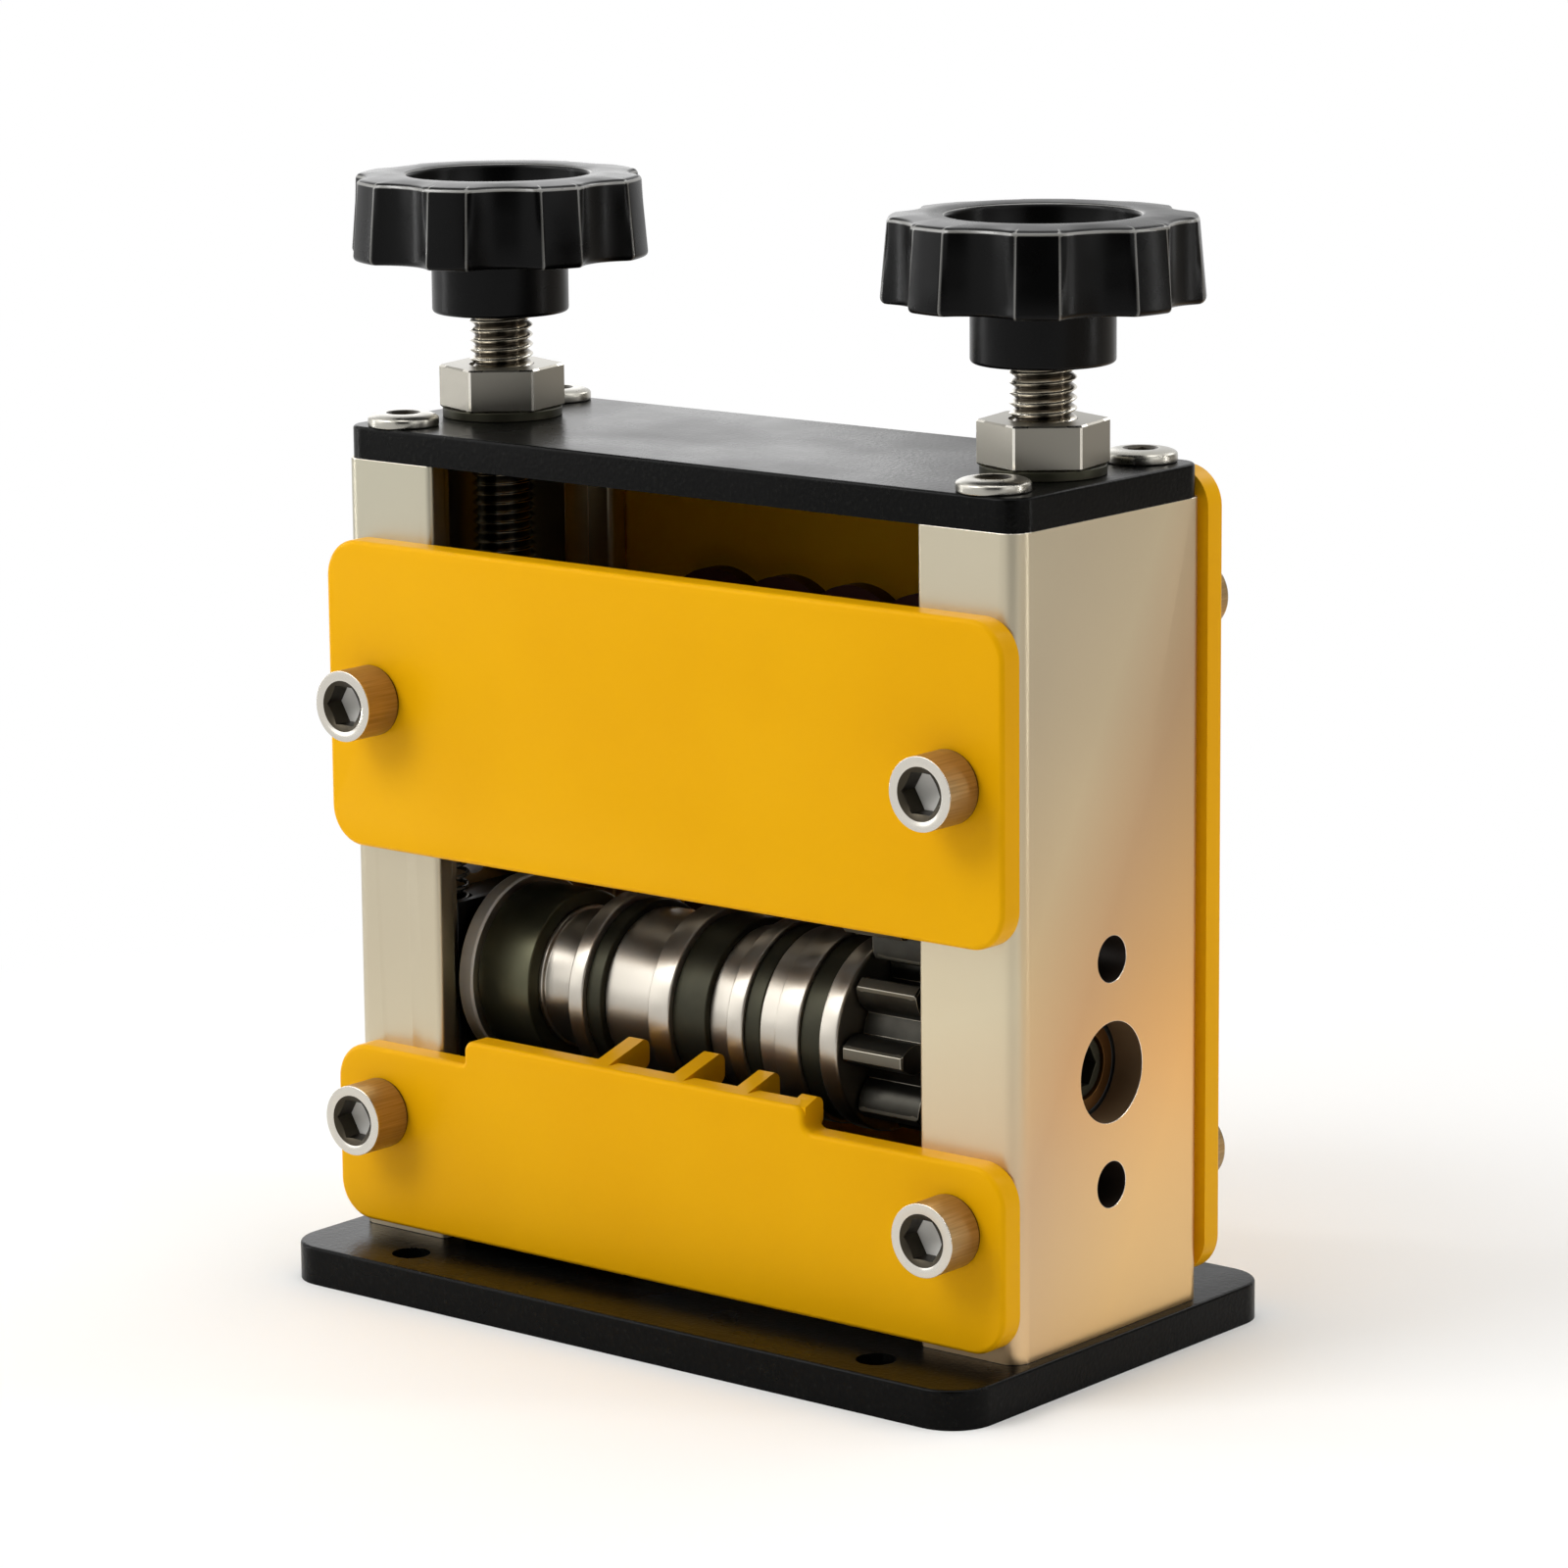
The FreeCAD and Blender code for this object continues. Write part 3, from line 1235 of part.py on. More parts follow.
for side, word, turn in ((-1, "left", dim.left_knob_turn), (1, "right", dim.right_knob_turn)):
    adjusting_screw(f"{word}_adjusting_screw", side)
    lock_nut(f"{word}_lock_nut", side)
    star_knob(f"{word}_knob", side, turn)
    knob_nut(f"{word}_knob_nut", side, turn)

doc.recompute()


# ---- checks and export --------------------------------------------------------------------------

for item in doc.Objects:
    if "Invalid" in item.State or "Error" in item.State:
        raise RuntimeError(f"{item.Label}: {item.State}")
for node in nodes:
    if node.Shape.isNull() or not node.Shape.isValid() or not node.Shape.Solids:
        raise RuntimeError(f"{node.Label}: no valid solid")
for node in nodes:
    node.Shape.exportStep(f"parts/{node.Label}.step")
print(f"{len(nodes)} sub-parts written")
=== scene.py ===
import json
import math

import bmesh
import bpy
import numpy as np
from mathutils import Matrix, Vector


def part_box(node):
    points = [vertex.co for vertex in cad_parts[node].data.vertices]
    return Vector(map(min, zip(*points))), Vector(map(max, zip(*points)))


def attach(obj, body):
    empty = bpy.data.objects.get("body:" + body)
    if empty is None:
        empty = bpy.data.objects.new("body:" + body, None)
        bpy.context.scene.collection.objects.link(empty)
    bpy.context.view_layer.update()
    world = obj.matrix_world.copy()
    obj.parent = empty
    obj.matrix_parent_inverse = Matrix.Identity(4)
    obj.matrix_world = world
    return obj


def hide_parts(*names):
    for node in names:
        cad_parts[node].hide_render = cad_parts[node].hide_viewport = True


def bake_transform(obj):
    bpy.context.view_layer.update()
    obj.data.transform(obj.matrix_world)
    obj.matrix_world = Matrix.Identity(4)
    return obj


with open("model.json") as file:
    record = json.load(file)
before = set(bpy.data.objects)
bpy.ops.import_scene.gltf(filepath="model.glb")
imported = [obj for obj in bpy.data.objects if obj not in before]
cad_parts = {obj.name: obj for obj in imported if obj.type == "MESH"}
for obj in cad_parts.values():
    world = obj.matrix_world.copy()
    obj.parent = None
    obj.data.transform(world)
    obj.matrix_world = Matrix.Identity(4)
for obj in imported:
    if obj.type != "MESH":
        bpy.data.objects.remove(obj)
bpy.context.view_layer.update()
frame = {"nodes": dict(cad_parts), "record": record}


# ---- base plate and top plate ------------------------------------------------
# Two flat plates of 6 and 5 mm aluminium, profiled, bead blasted and anodised black.
# The top plate is held by four button screws, the base plate by four screws from below.

MM = 0.001
MERGE_REACH = 2e-6  # points of one corner of a CAD mesh lie closer than this
FLAT_TURN = 0.5  # degrees between facets that count as one face
BEVEL_STEPS = 3
MIDDLE = {"From Min": 0.3, "From Max": 0.7}  # nearly all of a noise lies between these


def linear(hex_colour):
    """An sRGB hex colour as linear RGBA: each channel c becomes ((c + 0.055) / 1.055) ** 2.4."""
    channels = [int(hex_colour[i:i + 2], 16) / 255 for i in (1, 3, 5)]
    return [c / 12.92 if c < 0.04045 else ((c + 0.055) / 1.055) ** 2.4 for c in channels] + [1.0]


def add(owner, kind, inputs=None, settings=None, stops=None, to=None):
    """Adds a node to a material or a world, and returns its outputs. Inputs are values or other nodes'
    outputs, settings its properties, stops a ramp's positions and hex colours. Its first output is linked to
    the socket given as to."""
    tree = owner.node_tree
    node = tree.nodes.new("ShaderNode" + kind)
    for name, value in (settings or {}).items():
        setattr(node, name, value)
    for name, value in (inputs or {}).items():
        if isinstance(value, bpy.types.NodeSocket):
            tree.links.new(value, node.inputs[name])
        else:
            node.inputs[name].default_value = value
    if stops:
        band = node.color_ramp.elements
        while len(band) < len(stops):
            band.new(0.5)
        for element, (position, colour) in zip(band, stops):
            element.position = position
            element.color = linear(colour)
    if to is not None:
        tree.links.new(node.outputs[0], to)
    return node.outputs


def new_material(name, colour, metallic, roughness, **more):
    """A Principled surface with its plain values on its own sockets: the material, the surface's inputs, and
    the Object coordinates that its pattern is read from."""
    material = bpy.data.materials.new(name)
    material.use_nodes = True
    surface = material.node_tree.nodes["Principled BSDF"].inputs
    values = {"Base Color": linear(colour), "Metallic": metallic, "Roughness": roughness}
    values.update({key.replace("_", " "): value for key, value in more.items()})
    for key, value in values.items():
        surface[key].default_value = value
    return material, surface, add(material, "TexCoord")["Object"]


def grains(millimetres):
    """Noise scale, in cells per metre, for a pattern of that size."""
    return 1000 / millimetres


def black_anodised():
    """Anodised aluminium, bead blasted: deep black seen square on, grey and grainy at a low angle. The grain
    of 0.7 mm is drawn coarser than beads leave it, so that it shows."""
    material, surface, place = new_material("black_anodised", "#060606", 0.0, 0.27, Specular_IOR_Level=0.07)
    fine = add(material, "TexNoise", {"Vector": place, "Scale": grains(0.7), "Detail": 2.0})["Fac"]
    cloud = add(material, "TexNoise", {"Vector": place, "Scale": grains(18), "Detail": 3.0})["Fac"]
    add(material, "ValToRGB", {"Fac": fine}, to=surface["Base Color"],
        stops=[(0.35, "#040404"), (0.62, "#080807"), (0.75, "#141412")])
    add(material, "MapRange", {"Value": cloud, **MIDDLE, "To Min": 0.24, "To Max": 0.32},
        to=surface["Roughness"])
    add(material, "Bump", {"Height": fine, "Distance": 0.05 * MM}, to=surface["Normal"])
    return material


def finished(node, material, bevel_mm=0.0, sharp=32, edge_material=None):
    """A merged copy of a CAD piece. Edges sharper than that many degrees stay crisp, and are rounded."""
    body = next(name for name, members in frame["record"]["behaviour"]["bodies"].items() if node in members)
    mesh = frame["nodes"][node].data.copy()
    mesh.name = node
    piece = bpy.data.objects.new(node + "_finished", mesh)
    bpy.context.scene.collection.objects.link(piece)
    shell = bmesh.new()
    shell.from_mesh(mesh)
    bmesh.ops.remove_doubles(shell, verts=shell.verts, dist=MERGE_REACH)
    bmesh.ops.dissolve_limit(shell, angle_limit=math.radians(FLAT_TURN), verts=shell.verts, edges=shell.edges)
    bmesh.ops.recalc_face_normals(shell, faces=shell.faces)
    for face in shell.faces:
        face.smooth = True
    shell.to_mesh(mesh)
    shell.free()
    mesh.set_sharp_from_angle(angle=math.radians(sharp))
    mesh.materials.clear()
    mesh.materials.append(material)
    if bevel_mm:
        edge = piece.modifiers.new("edge", "BEVEL")
        edge.width = bevel_mm * MM
        edge.segments = BEVEL_STEPS
        edge.limit_method = "ANGLE"
        edge.angle_limit = math.radians(sharp)
        edge.harden_normals = True
        edge.use_clamp_overlap = True
        if edge_material:
            mesh.materials.append(edge_material)
            edge.material = 1
    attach(piece, body)
    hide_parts(node)
    return piece


anodised = black_anodised()
for node in ("base_plate", "top_plate"):
    finished(node, anodised)


# ---- side channels -----------------------------------------------------------
# Two machined aluminium channels, open towards the inside, with rounded outer edges.
# They are sandblasted and anodised in a pale champagne, which gives a soft satin sheen.

DRIVE_AXIS = (0.0, 0.0455)  # y and z of the drive shaft, on which the crank port lies
PORT_REACH = 0.0079  # just over the port's radius
BRACKET_HEIGHTS, BRACKET_REACH = (0.0285, 0.0625), 0.0038
WEB_START = 0.058  # x just inside the web, which the bores go through
WALL_LEAN = 0.3  # the wall of a bore along x has a normal that leans less than this along it


def satin_aluminium():
    """Anodised aluminium, sandblasted: a soft metallic sheen with 0.35 mm grain. Its base colour is painted
    from grey champagne at the top to peach low at the back, warmer towards +x, a painted reflection of a warm
    surround: the ramp reads 0.62 (0.15 - z) / 0.15 + 0.38 (y + 0.027) / 0.05 + 1.5 x, in metres."""
    material, surface, place = new_material("satin_aluminium", "#c5b69c", 1.0, 0.34)
    axes = add(material, "SeparateXYZ", {"Vector": place})
    fall = add(material, "MapRange", {"Value": axes["Z"], "From Min": 0.0, "From Max": 0.15,
                                      "To Min": 0.62, "To Max": 0.0})["Result"]
    back = add(material, "MapRange", {"Value": axes["Y"], "From Min": -0.027, "From Max": 0.023,
                                      "To Min": 0.0, "To Max": 0.38})["Result"]
    both = add(material, "Math", {0: fall, 1: back}, {"operation": "ADD"})[0]
    painted_reflection_warmth = add(material, "Math", {0: axes["X"], 1: 1.5, 2: both}, {"operation": "MULTIPLY_ADD"})[0]
    add(material, "ValToRGB", {"Fac": painted_reflection_warmth}, to=surface["Base Color"],
        stops=[(0.05, "#aca795"), (0.35, "#bfb49c"), (0.5, "#cec1a4"), (0.64, "#c9ad8b"), (0.88, "#e6c188")])
    fine = add(material, "TexNoise", {"Vector": place, "Scale": grains(0.35), "Detail": 2.0})["Fac"]
    cloud = add(material, "TexNoise", {"Vector": place, "Scale": grains(30), "Detail": 3.0})["Fac"]
    add(material, "MapRange", {"Value": cloud, **MIDDLE, "To Min": 0.31, "To Max": 0.38},
        to=surface["Roughness"])
    add(material, "Bump", {"Height": fine, "Distance": 0.006 * MM}, to=surface["Normal"])
    return material


def plain(name, colour, metallic, roughness):
    """A small surface of one colour, with a grain of 0.4 mm in its sheen."""
    material, surface, place = new_material(name, colour, metallic, roughness)
    fine = add(material, "TexNoise", {"Vector": place, "Scale": grains(0.4), "Detail": 2.0})["Fac"]
    add(material, "MapRange", {"Value": fine, **MIDDLE, "To Min": roughness - 0.03,
                               "To Max": roughness + 0.03}, to=surface["Roughness"])
    return material


def repaint(piece, material, choose):
    """Another material on the faces that choose picks from their middles and normals, arrays of x, y, z."""
    mesh = piece.data
    count = len(mesh.polygons)
    middle = np.zeros(count * 3)
    normal = np.zeros(count * 3)
    index = np.zeros(count, np.int32)
    mesh.polygons.foreach_get("center", middle)
    mesh.polygons.foreach_get("normal", normal)
    mesh.polygons.foreach_get("material_index", index)
    mesh.materials.append(material)
    index[choose(middle.reshape(-1, 3), normal.reshape(-1, 3))] = len(mesh.materials) - 1
    mesh.polygons.foreach_set("material_index", index)


def bore_wall(middle, normal, heights, reach):
    """The walls of the bores through a channel's web at y = 0 and those heights."""
    away = np.min([np.hypot(middle[:, 1], middle[:, 2] - height) for height in heights], axis=0)
    return (away < reach) & (np.abs(normal[:, 0]) < WALL_LEAN) & (np.abs(middle[:, 0]) > WEB_START)


aluminium = satin_aluminium()
# The channels' eased edges are painted a paler aluminium, a painted highlight along them.
aluminium_edge_highlight = plain("aluminium_edge_painted_highlight", "#efe7da", 1.0, 0.22)
# The walls of the crank port and the bracket holes are painted brown and dark brown, painted shade inside the
# bores.
port_painted_shade = plain("port_painted_shade", "#6b543a", 0.3, 0.5)
hole_painted_shade = plain("hole_painted_shade", "#241a12", 0.3, 0.5)
for side in ("left", "right"):
    channel = finished(side + "_side_channel", aluminium, 0.2, edge_material=aluminium_edge_highlight)
    repaint(channel, port_painted_shade, lambda middle, normal: bore_wall(middle, normal, DRIVE_AXIS[1:], PORT_REACH))
    repaint(channel, hole_painted_shade,
            lambda middle, normal: bore_wall(middle, normal, BRACKET_HEIGHTS, BRACKET_REACH))


# ---- bearing blocks, bushes and keepers --------------------------------------
# Milled and black anodised blocks that carry the shafts in sintered bronze bushes.
# The upper ones slide, with a steel keeper plate over the toe of each adjusting screw.

def black_milled():
    """Milled aluminium, anodised black: satin black, with cutter marks. A wave repeats about three times in
    a cell, so cells of 3.6 mm draw marks 1.1 mm apart, coarse enough to show."""
    material, surface, place = new_material("black_milled_aluminium", "#0b0b0a", 0.0, 0.4,
                                            Specular_IOR_Level=0.3)
    marks = add(material, "TexWave",
                {"Vector": place, "Scale": grains(3.6), "Distortion": 1.5, "Detail": 2.0},
                {"wave_type": "BANDS", "bands_direction": "Z"})["Fac"]
    add(material, "Bump", {"Height": marks, "Distance": 0.006 * MM}, to=surface["Normal"])
    return material


def sintered_bronze():
    """Sintered bronze, soaked in oil: dark gold brown, darker than the bronze itself as painted shade in the
    bores, with open pores drawn 0.3 mm across.
    """
    material, surface, place = new_material("sintered_bronze", "#6b4a28", 1.0, 0.5)
    pores = add(material, "TexNoise", {"Vector": place, "Scale": grains(0.3), "Detail": 3.0})["Fac"]
    add(material, "Bump", {"Height": pores, "Distance": 0.02 * MM}, to=surface["Normal"])
    return material


def rolled_steel():
    """Cold rolled steel sheet, zinc plated: grey, with soft streaks along the sheet."""
    material, surface, place = new_material("rolled_steel", "#a7a59f", 1.0, 0.34)
    along = add(material, "Mapping", {"Vector": place, "Scale": (1.0, 0.1, 1.0)})["Vector"]
    lines = add(material, "TexNoise", {"Vector": along, "Scale": grains(0.3), "Detail": 2.0})["Fac"]
    add(material, "Bump", {"Height": lines, "Distance": 0.004 * MM}, to=surface["Normal"])
    return material


milled = black_milled()
bronze = sintered_bronze()
plate_steel = rolled_steel()
for side in ("left", "right"):
    finished(side + "_lower_block", milled, 0.2)
    finished(side + "_upper_block", milled, 0.2)
for node in ("lower_bushes", "upper_bushes"):
    finished(node, bronze, 0.1)
finished("screw_keepers", plate_steel, 0.15)


# ---- return springs ----------------------------------------------------------
# Four small compression springs of 0.7 mm wire, with closed ends, in pockets of the blocks.
# They push the sliding blocks up against the adjusting screws.

SPRING_PLACES = [(x, y) for x in (-0.056, 0.056) for y in (-0.0095, 0.0095)]
SPRING_TURNS = 8
SPRING_RADIUS = 0.00215
WIRE_RADIUS = 0.00035
WIRE_SIDES = 10
STEPS_PER_TURN = 28
END_PITCH = 0.35  # share of the full pitch where an end turn closes
SMOOTH_TURN = 35  # degrees: edges below this are shaded smooth
SEAM_REACH, SPECK = 1e-7, 1e-8  # doubles at a pole or seam, and faces of no size


def surface_mesh(name, grid, wrap_along=False, wrap_round=True, sharp=SMOOTH_TURN):
    """A mesh over a grid of points, shape (along, round, 3), with poles and seams closed."""
    rows, columns = grid.shape[:2]
    index = np.arange(rows * columns).reshape(rows, columns)
    along = index if wrap_along else index[:-1]
    after = np.roll(index, -1, axis=0) if wrap_along else index[1:]
    right = np.roll(index, -1, axis=1)
    right = right if wrap_along else right[:-1]
    corners = np.stack([along, after, np.roll(after, -1, axis=1), right], axis=-1)
    if not wrap_round:
        corners = corners[:, :-1]
    mesh = bpy.data.meshes.new(name)
    mesh.from_pydata(grid.reshape(-1, 3).tolist(), [], corners.reshape(-1, 4).tolist())
    shell = bmesh.new()
    shell.from_mesh(mesh)
    bmesh.ops.remove_doubles(shell, verts=shell.verts, dist=SEAM_REACH)
    bmesh.ops.dissolve_degenerate(shell, edges=shell.edges, dist=SPECK)
    bmesh.ops.holes_fill(shell, edges=shell.edges, sides=0)
    bmesh.ops.recalc_face_normals(shell, faces=shell.faces)
    for face in shell.faces:
        face.smooth = True
    shell.to_mesh(mesh)
    shell.free()
    mesh.set_sharp_from_angle(angle=math.radians(sharp))
    return mesh


def joined(name, meshes):
    """One mesh from several."""
    shell = bmesh.new()
    for mesh in meshes:
        shell.from_mesh(mesh)
    whole = bpy.data.meshes.new(name)
    shell.to_mesh(whole)
    shell.free()
    whole.set_sharp_from_angle(angle=math.radians(SMOOTH_TURN))
    return whole


def new_piece(name, mesh, material, body=None, replaces=()):
    """A piece from a new mesh, riding on its body in place of those CAD nodes."""
    piece = bpy.data.objects.new(name, mesh)
    bpy.context.scene.collection.objects.link(piece)
    mesh.materials.append(material)
    if body:
        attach(piece, body)
    if replaces:
        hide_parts(*replaces)
    return piece


def coil(centre, low, high):
    """Wire carried round a helix: x, y = centre + (R + r cos b) (cos a, sin a), z = rise + r sin b. The pitch
    falls to the wire's width over the first and last turn."""
    steps = np.linspace(0, 1, SPRING_TURNS * STEPS_PER_TURN)
    closed = 1.0 / SPRING_TURNS
    rate = END_PITCH + np.clip(np.minimum(steps, 1 - steps) / closed, 0, 1)
    rise = np.cumsum(rate)
    rise = (rise - rise[0]) / (rise[-1] - rise[0])
    turn = steps * SPRING_TURNS * 2 * math.pi
    heights = low + WIRE_RADIUS + rise * (high - low - 2 * WIRE_RADIUS)
    spot = np.linspace(0, 2 * math.pi, WIRE_SIDES, endpoint=False)
    reach = SPRING_RADIUS + WIRE_RADIUS * np.cos(spot)[None, :]
    x = centre[0] + reach * np.cos(turn)[:, None]
    y = centre[1] + reach * np.sin(turn)[:, None]
    z = heights[:, None] + WIRE_RADIUS * np.sin(spot)[None, :]
    return surface_mesh("coil", np.stack([x, y, z], axis=-1))


def spring_steel():
    """Patented spring wire, oiled: dark grey and smooth, with its drawn skin in patches of 0.5 mm."""
    material, surface, place = new_material("spring_steel", "#8b8984", 1.0, 0.28)
    drawn = add(material, "TexNoise", {"Vector": place, "Scale": grains(0.5), "Detail": 2.0})["Fac"]
    add(material, "MapRange", {"Value": drawn, **MIDDLE, "To Min": 0.24, "To Max": 0.36},
        to=surface["Roughness"])
    return material


spring_low, spring_high = (corner.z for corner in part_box("return_springs"))
coils = [coil(place, spring_low, spring_high) for place in SPRING_PLACES]
springs = new_piece("return_spring_coils", joined("return_spring_coils", coils), spring_steel())
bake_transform(springs)
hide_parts("return_springs")


# ---- feed wheels and shafts --------------------------------------------------
# Turned steel wheels and shafts, ground on the rims, with black oxide rings between them.
# They are threaded on a keyed shaft and held between its flange and a retaining ring.

WHEEL_SIDES = 144
ARC_STEPS = 5
ARC_SHARE = 0.45  # of a side of a profile that one corner's arc may take
STRAIGHT = 0.999  # cosine past which two sides are in line
BORE = 5.02
RIM = 15
WHEEL_EASE, PLAIN_WHEEL_EASE = 0.35, 0.5
WHEELS = {  # bands of (width, radius) in mm from the left, where a width of 0 takes what is left
    "anvil_roller_1": [(0, 13.6)],
    "feed_wheel_2": [(0.9, 11.3), (0, 10.7), (2.9, RIM)],
    "cheek_ring_2": [(0, 14)],
    "feed_wheel_3": [(0, 13), (4.2, RIM)],
    "cheek_ring_3": [(0, 14)],
    "feed_wheel_4": [(0, 13), (3.1, RIM)],
    "anvil_ring_5": [(0, 14.4)],
    "feed_wheel_5": [(0, 14.4), (4.5, RIM)],
    "anvil_ring_6": [(0, 14.4)],
    "feed_wheel_6": [(0, RIM)],
}
BLADES = 6
BLADE_SHARP = 12  # degrees: a blade's flat bevels keep their edges
SHAFT_END = 0.051  # x past which a shaft is painted black, painted shade in the bores
FLANGE_RIM = 0.0143  # just inside the rim of the drive shaft's flange, from the drive axis
FLANGE_SIDE = -0.045
FLANGE_TOP = 0.0615  # above that flange and below the cutter shaft


def rounded_profile(points, radius):
    """The profile with each corner b turned into an arc between points s and e at equal reach on both sides:
    (1 - t)^2 s + 2 t (1 - t) b + t^2 e."""
    points = np.array(points, float)
    t = np.linspace(0, 1, ARC_STEPS)[:, None]
    result = [points[0]]
    for before, here, after in zip(points, points[1:], points[2:]):
        back, ahead = before - here, after - here
        size_back, size_ahead = np.linalg.norm(back), np.linalg.norm(ahead)
        back, ahead = back / size_back, ahead / size_ahead
        if abs(back @ ahead) > STRAIGHT:
            result.append(here)
            continue
        reach = min(radius, ARC_SHARE * size_back, ARC_SHARE * size_ahead)
        start, end = here + back * reach, here + ahead * reach
        result.extend((1 - t) ** 2 * start + 2 * t * (1 - t) * here + t ** 2 * end)
    return np.array(result + [points[-1]])


def turned(name, profile):
    """A profile of (x, radius) swept round the drive axis: y = r cos a, z = axis height + r sin a."""
    angle = np.linspace(0, 2 * math.pi, WHEEL_SIDES, endpoint=False)
    x = np.repeat(profile[:, :1], WHEEL_SIDES, axis=1)
    y = DRIVE_AXIS[0] + profile[:, 1:] * np.cos(angle)
    z = DRIVE_AXIS[1] + profile[:, 1:] * np.sin(angle)
    return surface_mesh(name, np.stack([x, y, z], axis=-1), wrap_along=True, sharp=50)


def turned_steel(name, colour, roughness, groove_mm):
    """Turned steel, brushed on the lathe: satin, with rings round the axis. The rings are finer than 0.5 mm
    and are drawn at 0.5 mm."""
    material, surface, place = new_material(name, colour, 1.0, roughness, Anisotropic=0.4)
    axial = add(material, "Mapping", {"Vector": place, "Scale": (1.0, 0.02, 0.02)})["Vector"]
    rings = add(material, "TexNoise", {"Vector": axial, "Scale": grains(0.5), "Detail": 3.0})["Fac"]
    smear = add(material, "TexNoise", {"Vector": place, "Scale": grains(12), "Detail": 1.0})["Fac"]
    add(material, "MapRange", {"Value": smear, **MIDDLE, "To Min": roughness - 0.015,
                               "To Max": roughness + 0.015}, to=surface["Roughness"])
    add(material, "Bump", {"Height": rings, "Distance": groove_mm * MM}, to=surface["Normal"])
    return material


def black_oxide(name, dark, light, roughness):
    """Black oxide on turned steel, oiled: near black, with a soft olive grey sheen along the light. Its rings
    are drawn 0.5 mm apart."""
    material, surface, place = new_material(name, dark, 0.8, roughness, Specular_IOR_Level=0.3)
    blot = add(material, "TexNoise", {"Vector": place, "Scale": grains(6), "Detail": 3.0})["Fac"]
    add(material, "ValToRGB", {"Fac": blot}, to=surface["Base Color"], stops=[(0.3, dark), (0.7, light)])
    axial = add(material, "Mapping", {"Vector": place, "Scale": (1.0, 0.02, 0.02)})["Vector"]
    rings = add(material, "TexNoise", {"Vector": axial, "Scale": grains(0.5), "Detail": 2.0})["Fac"]
    add(material, "Bump", {"Height": rings, "Distance": 0.006 * MM}, to=surface["Normal"])
    return material


def wheel(node, bands, material, ease_mm):
    """A wheel or ring of those bands, closed down to its bore, with every corner eased."""
    low, high = (corner.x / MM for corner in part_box(node))
    spare = high - low - sum(width for width, _ in bands)
    profile = [(low, BORE)]
    x = low
    for width, radius in bands:
        after = x + (width or spare)
        profile += [(x, radius), (after, radius)]
        x = after
    outside = rounded_profile(profile + [(x, BORE)], ease_mm) * MM
    new_piece(node + "_turned", turned(node, outside), material, "drive", (node,))


def shaft_ends_painted_shade(middle, normal):
    """What a shaft shows outside the rollers, painted black oxide as painted shade in the bushes and the
    port.
    """
    return np.abs(middle[:, 0]) > SHAFT_END


def flange_rim(middle, normal):
    """The rim of the drive shaft's flange, with its chamfers."""
    away = np.hypot(middle[:, 1], middle[:, 2] - DRIVE_AXIS[1])
    left = middle[:, 0] < FLANGE_SIDE
    return (away > FLANGE_RIM) & left & (np.abs(normal[:, 0]) < 0.8) & (middle[:, 2] < FLANGE_TOP)


steel = turned_steel("turned_steel", "#bab4a9", 0.35, 0.01)
oxide = black_oxide("black_oxide", "#333228", "#3d3c30", 0.45)
# A lighter copy of the black oxide for the anvil roller, painted light standing in for the light that falls
# on it.
lit_roller_oxide = black_oxide("roller_black_oxide_painted_light", "#52513f", "#5f5e4a", 0.38)
blade_steel = turned_steel("ground_blade_steel", "#cfcdc8", 0.2, 0.006)
# The rim of the drive shaft's flange is painted near white and nearly matt, a painted highlight.
flange_highlight = plain("flange_rim_painted_highlight", "#f4f1ea", 0.15, 0.5)
for node, bands in WHEELS.items():
    if node.startswith("feed"):
        wheel(node, bands, steel, WHEEL_EASE if len(bands) > 1 else PLAIN_WHEEL_EASE)
    else:
        wheel(node, bands, lit_roller_oxide if "roller" in node else oxide, WHEEL_EASE)
for node in ("drive_shaft", "cutter_shaft", "drive_sleeve", "cutter_sleeve", "drive_key", "cutter_key",
             "blade_spacers"):
    part = finished(node, steel, 0.1)
    if node.endswith("_shaft"):
        repaint(part, oxide, shaft_ends_painted_shade)
        repaint(part, flange_highlight, flange_rim)
for node in ("drive_retaining_ring", "cutter_retaining_ring"):
    finished(node, oxide, 0.05)
for number in range(1, BLADES + 1):
    finished(f"cutter_blade_{number}", blade_steel, sharp=BLADE_SHARP)


# ---- gears -------------------------------------------------------------------
# Two meshed spur gears of eight and ten broad teeth, cut in steel and blackened.
# Their edges are broken; the edges and the tooth lands are painted lighter grey, a painted highlight.

CUTTER_AXIS = (0.0, 0.0745)
LAND_DEPTH = 0.0004


def gear_black():
    """Black oxide on cut gear teeth: near black, with milling marks drawn 0.4 mm apart."""
    material, surface, place = new_material("gear_black_oxide", "#33312c", 0.85, 0.4)
    along = add(material, "Mapping", {"Vector": place, "Scale": (0.05, 1.0, 1.0)})["Vector"]
    lines = add(material, "TexNoise", {"Vector": along, "Scale": grains(0.4), "Detail": 2.0})["Fac"]
    blot = add(material, "TexNoise", {"Vector": place, "Scale": grains(3), "Detail": 3.0})["Fac"]
    add(material, "ValToRGB", {"Fac": blot}, to=surface["Base Color"],
        stops=[(0.3, "#2e2c27"), (0.7, "#3b3933")])
    add(material, "Bump", {"Height": lines, "Distance": 0.008 * MM}, to=surface["Normal"])
    return material


def lands(middle, normal, axis, tip):
    """The tooth lands of a gear: the faces round it that lie at its tip radius."""
    away = np.hypot(middle[:, 1], middle[:, 2] - axis[1])
    return (away > tip - LAND_DEPTH) & (np.abs(normal[:, 0]) < WALL_LEAN)


teeth = gear_black()
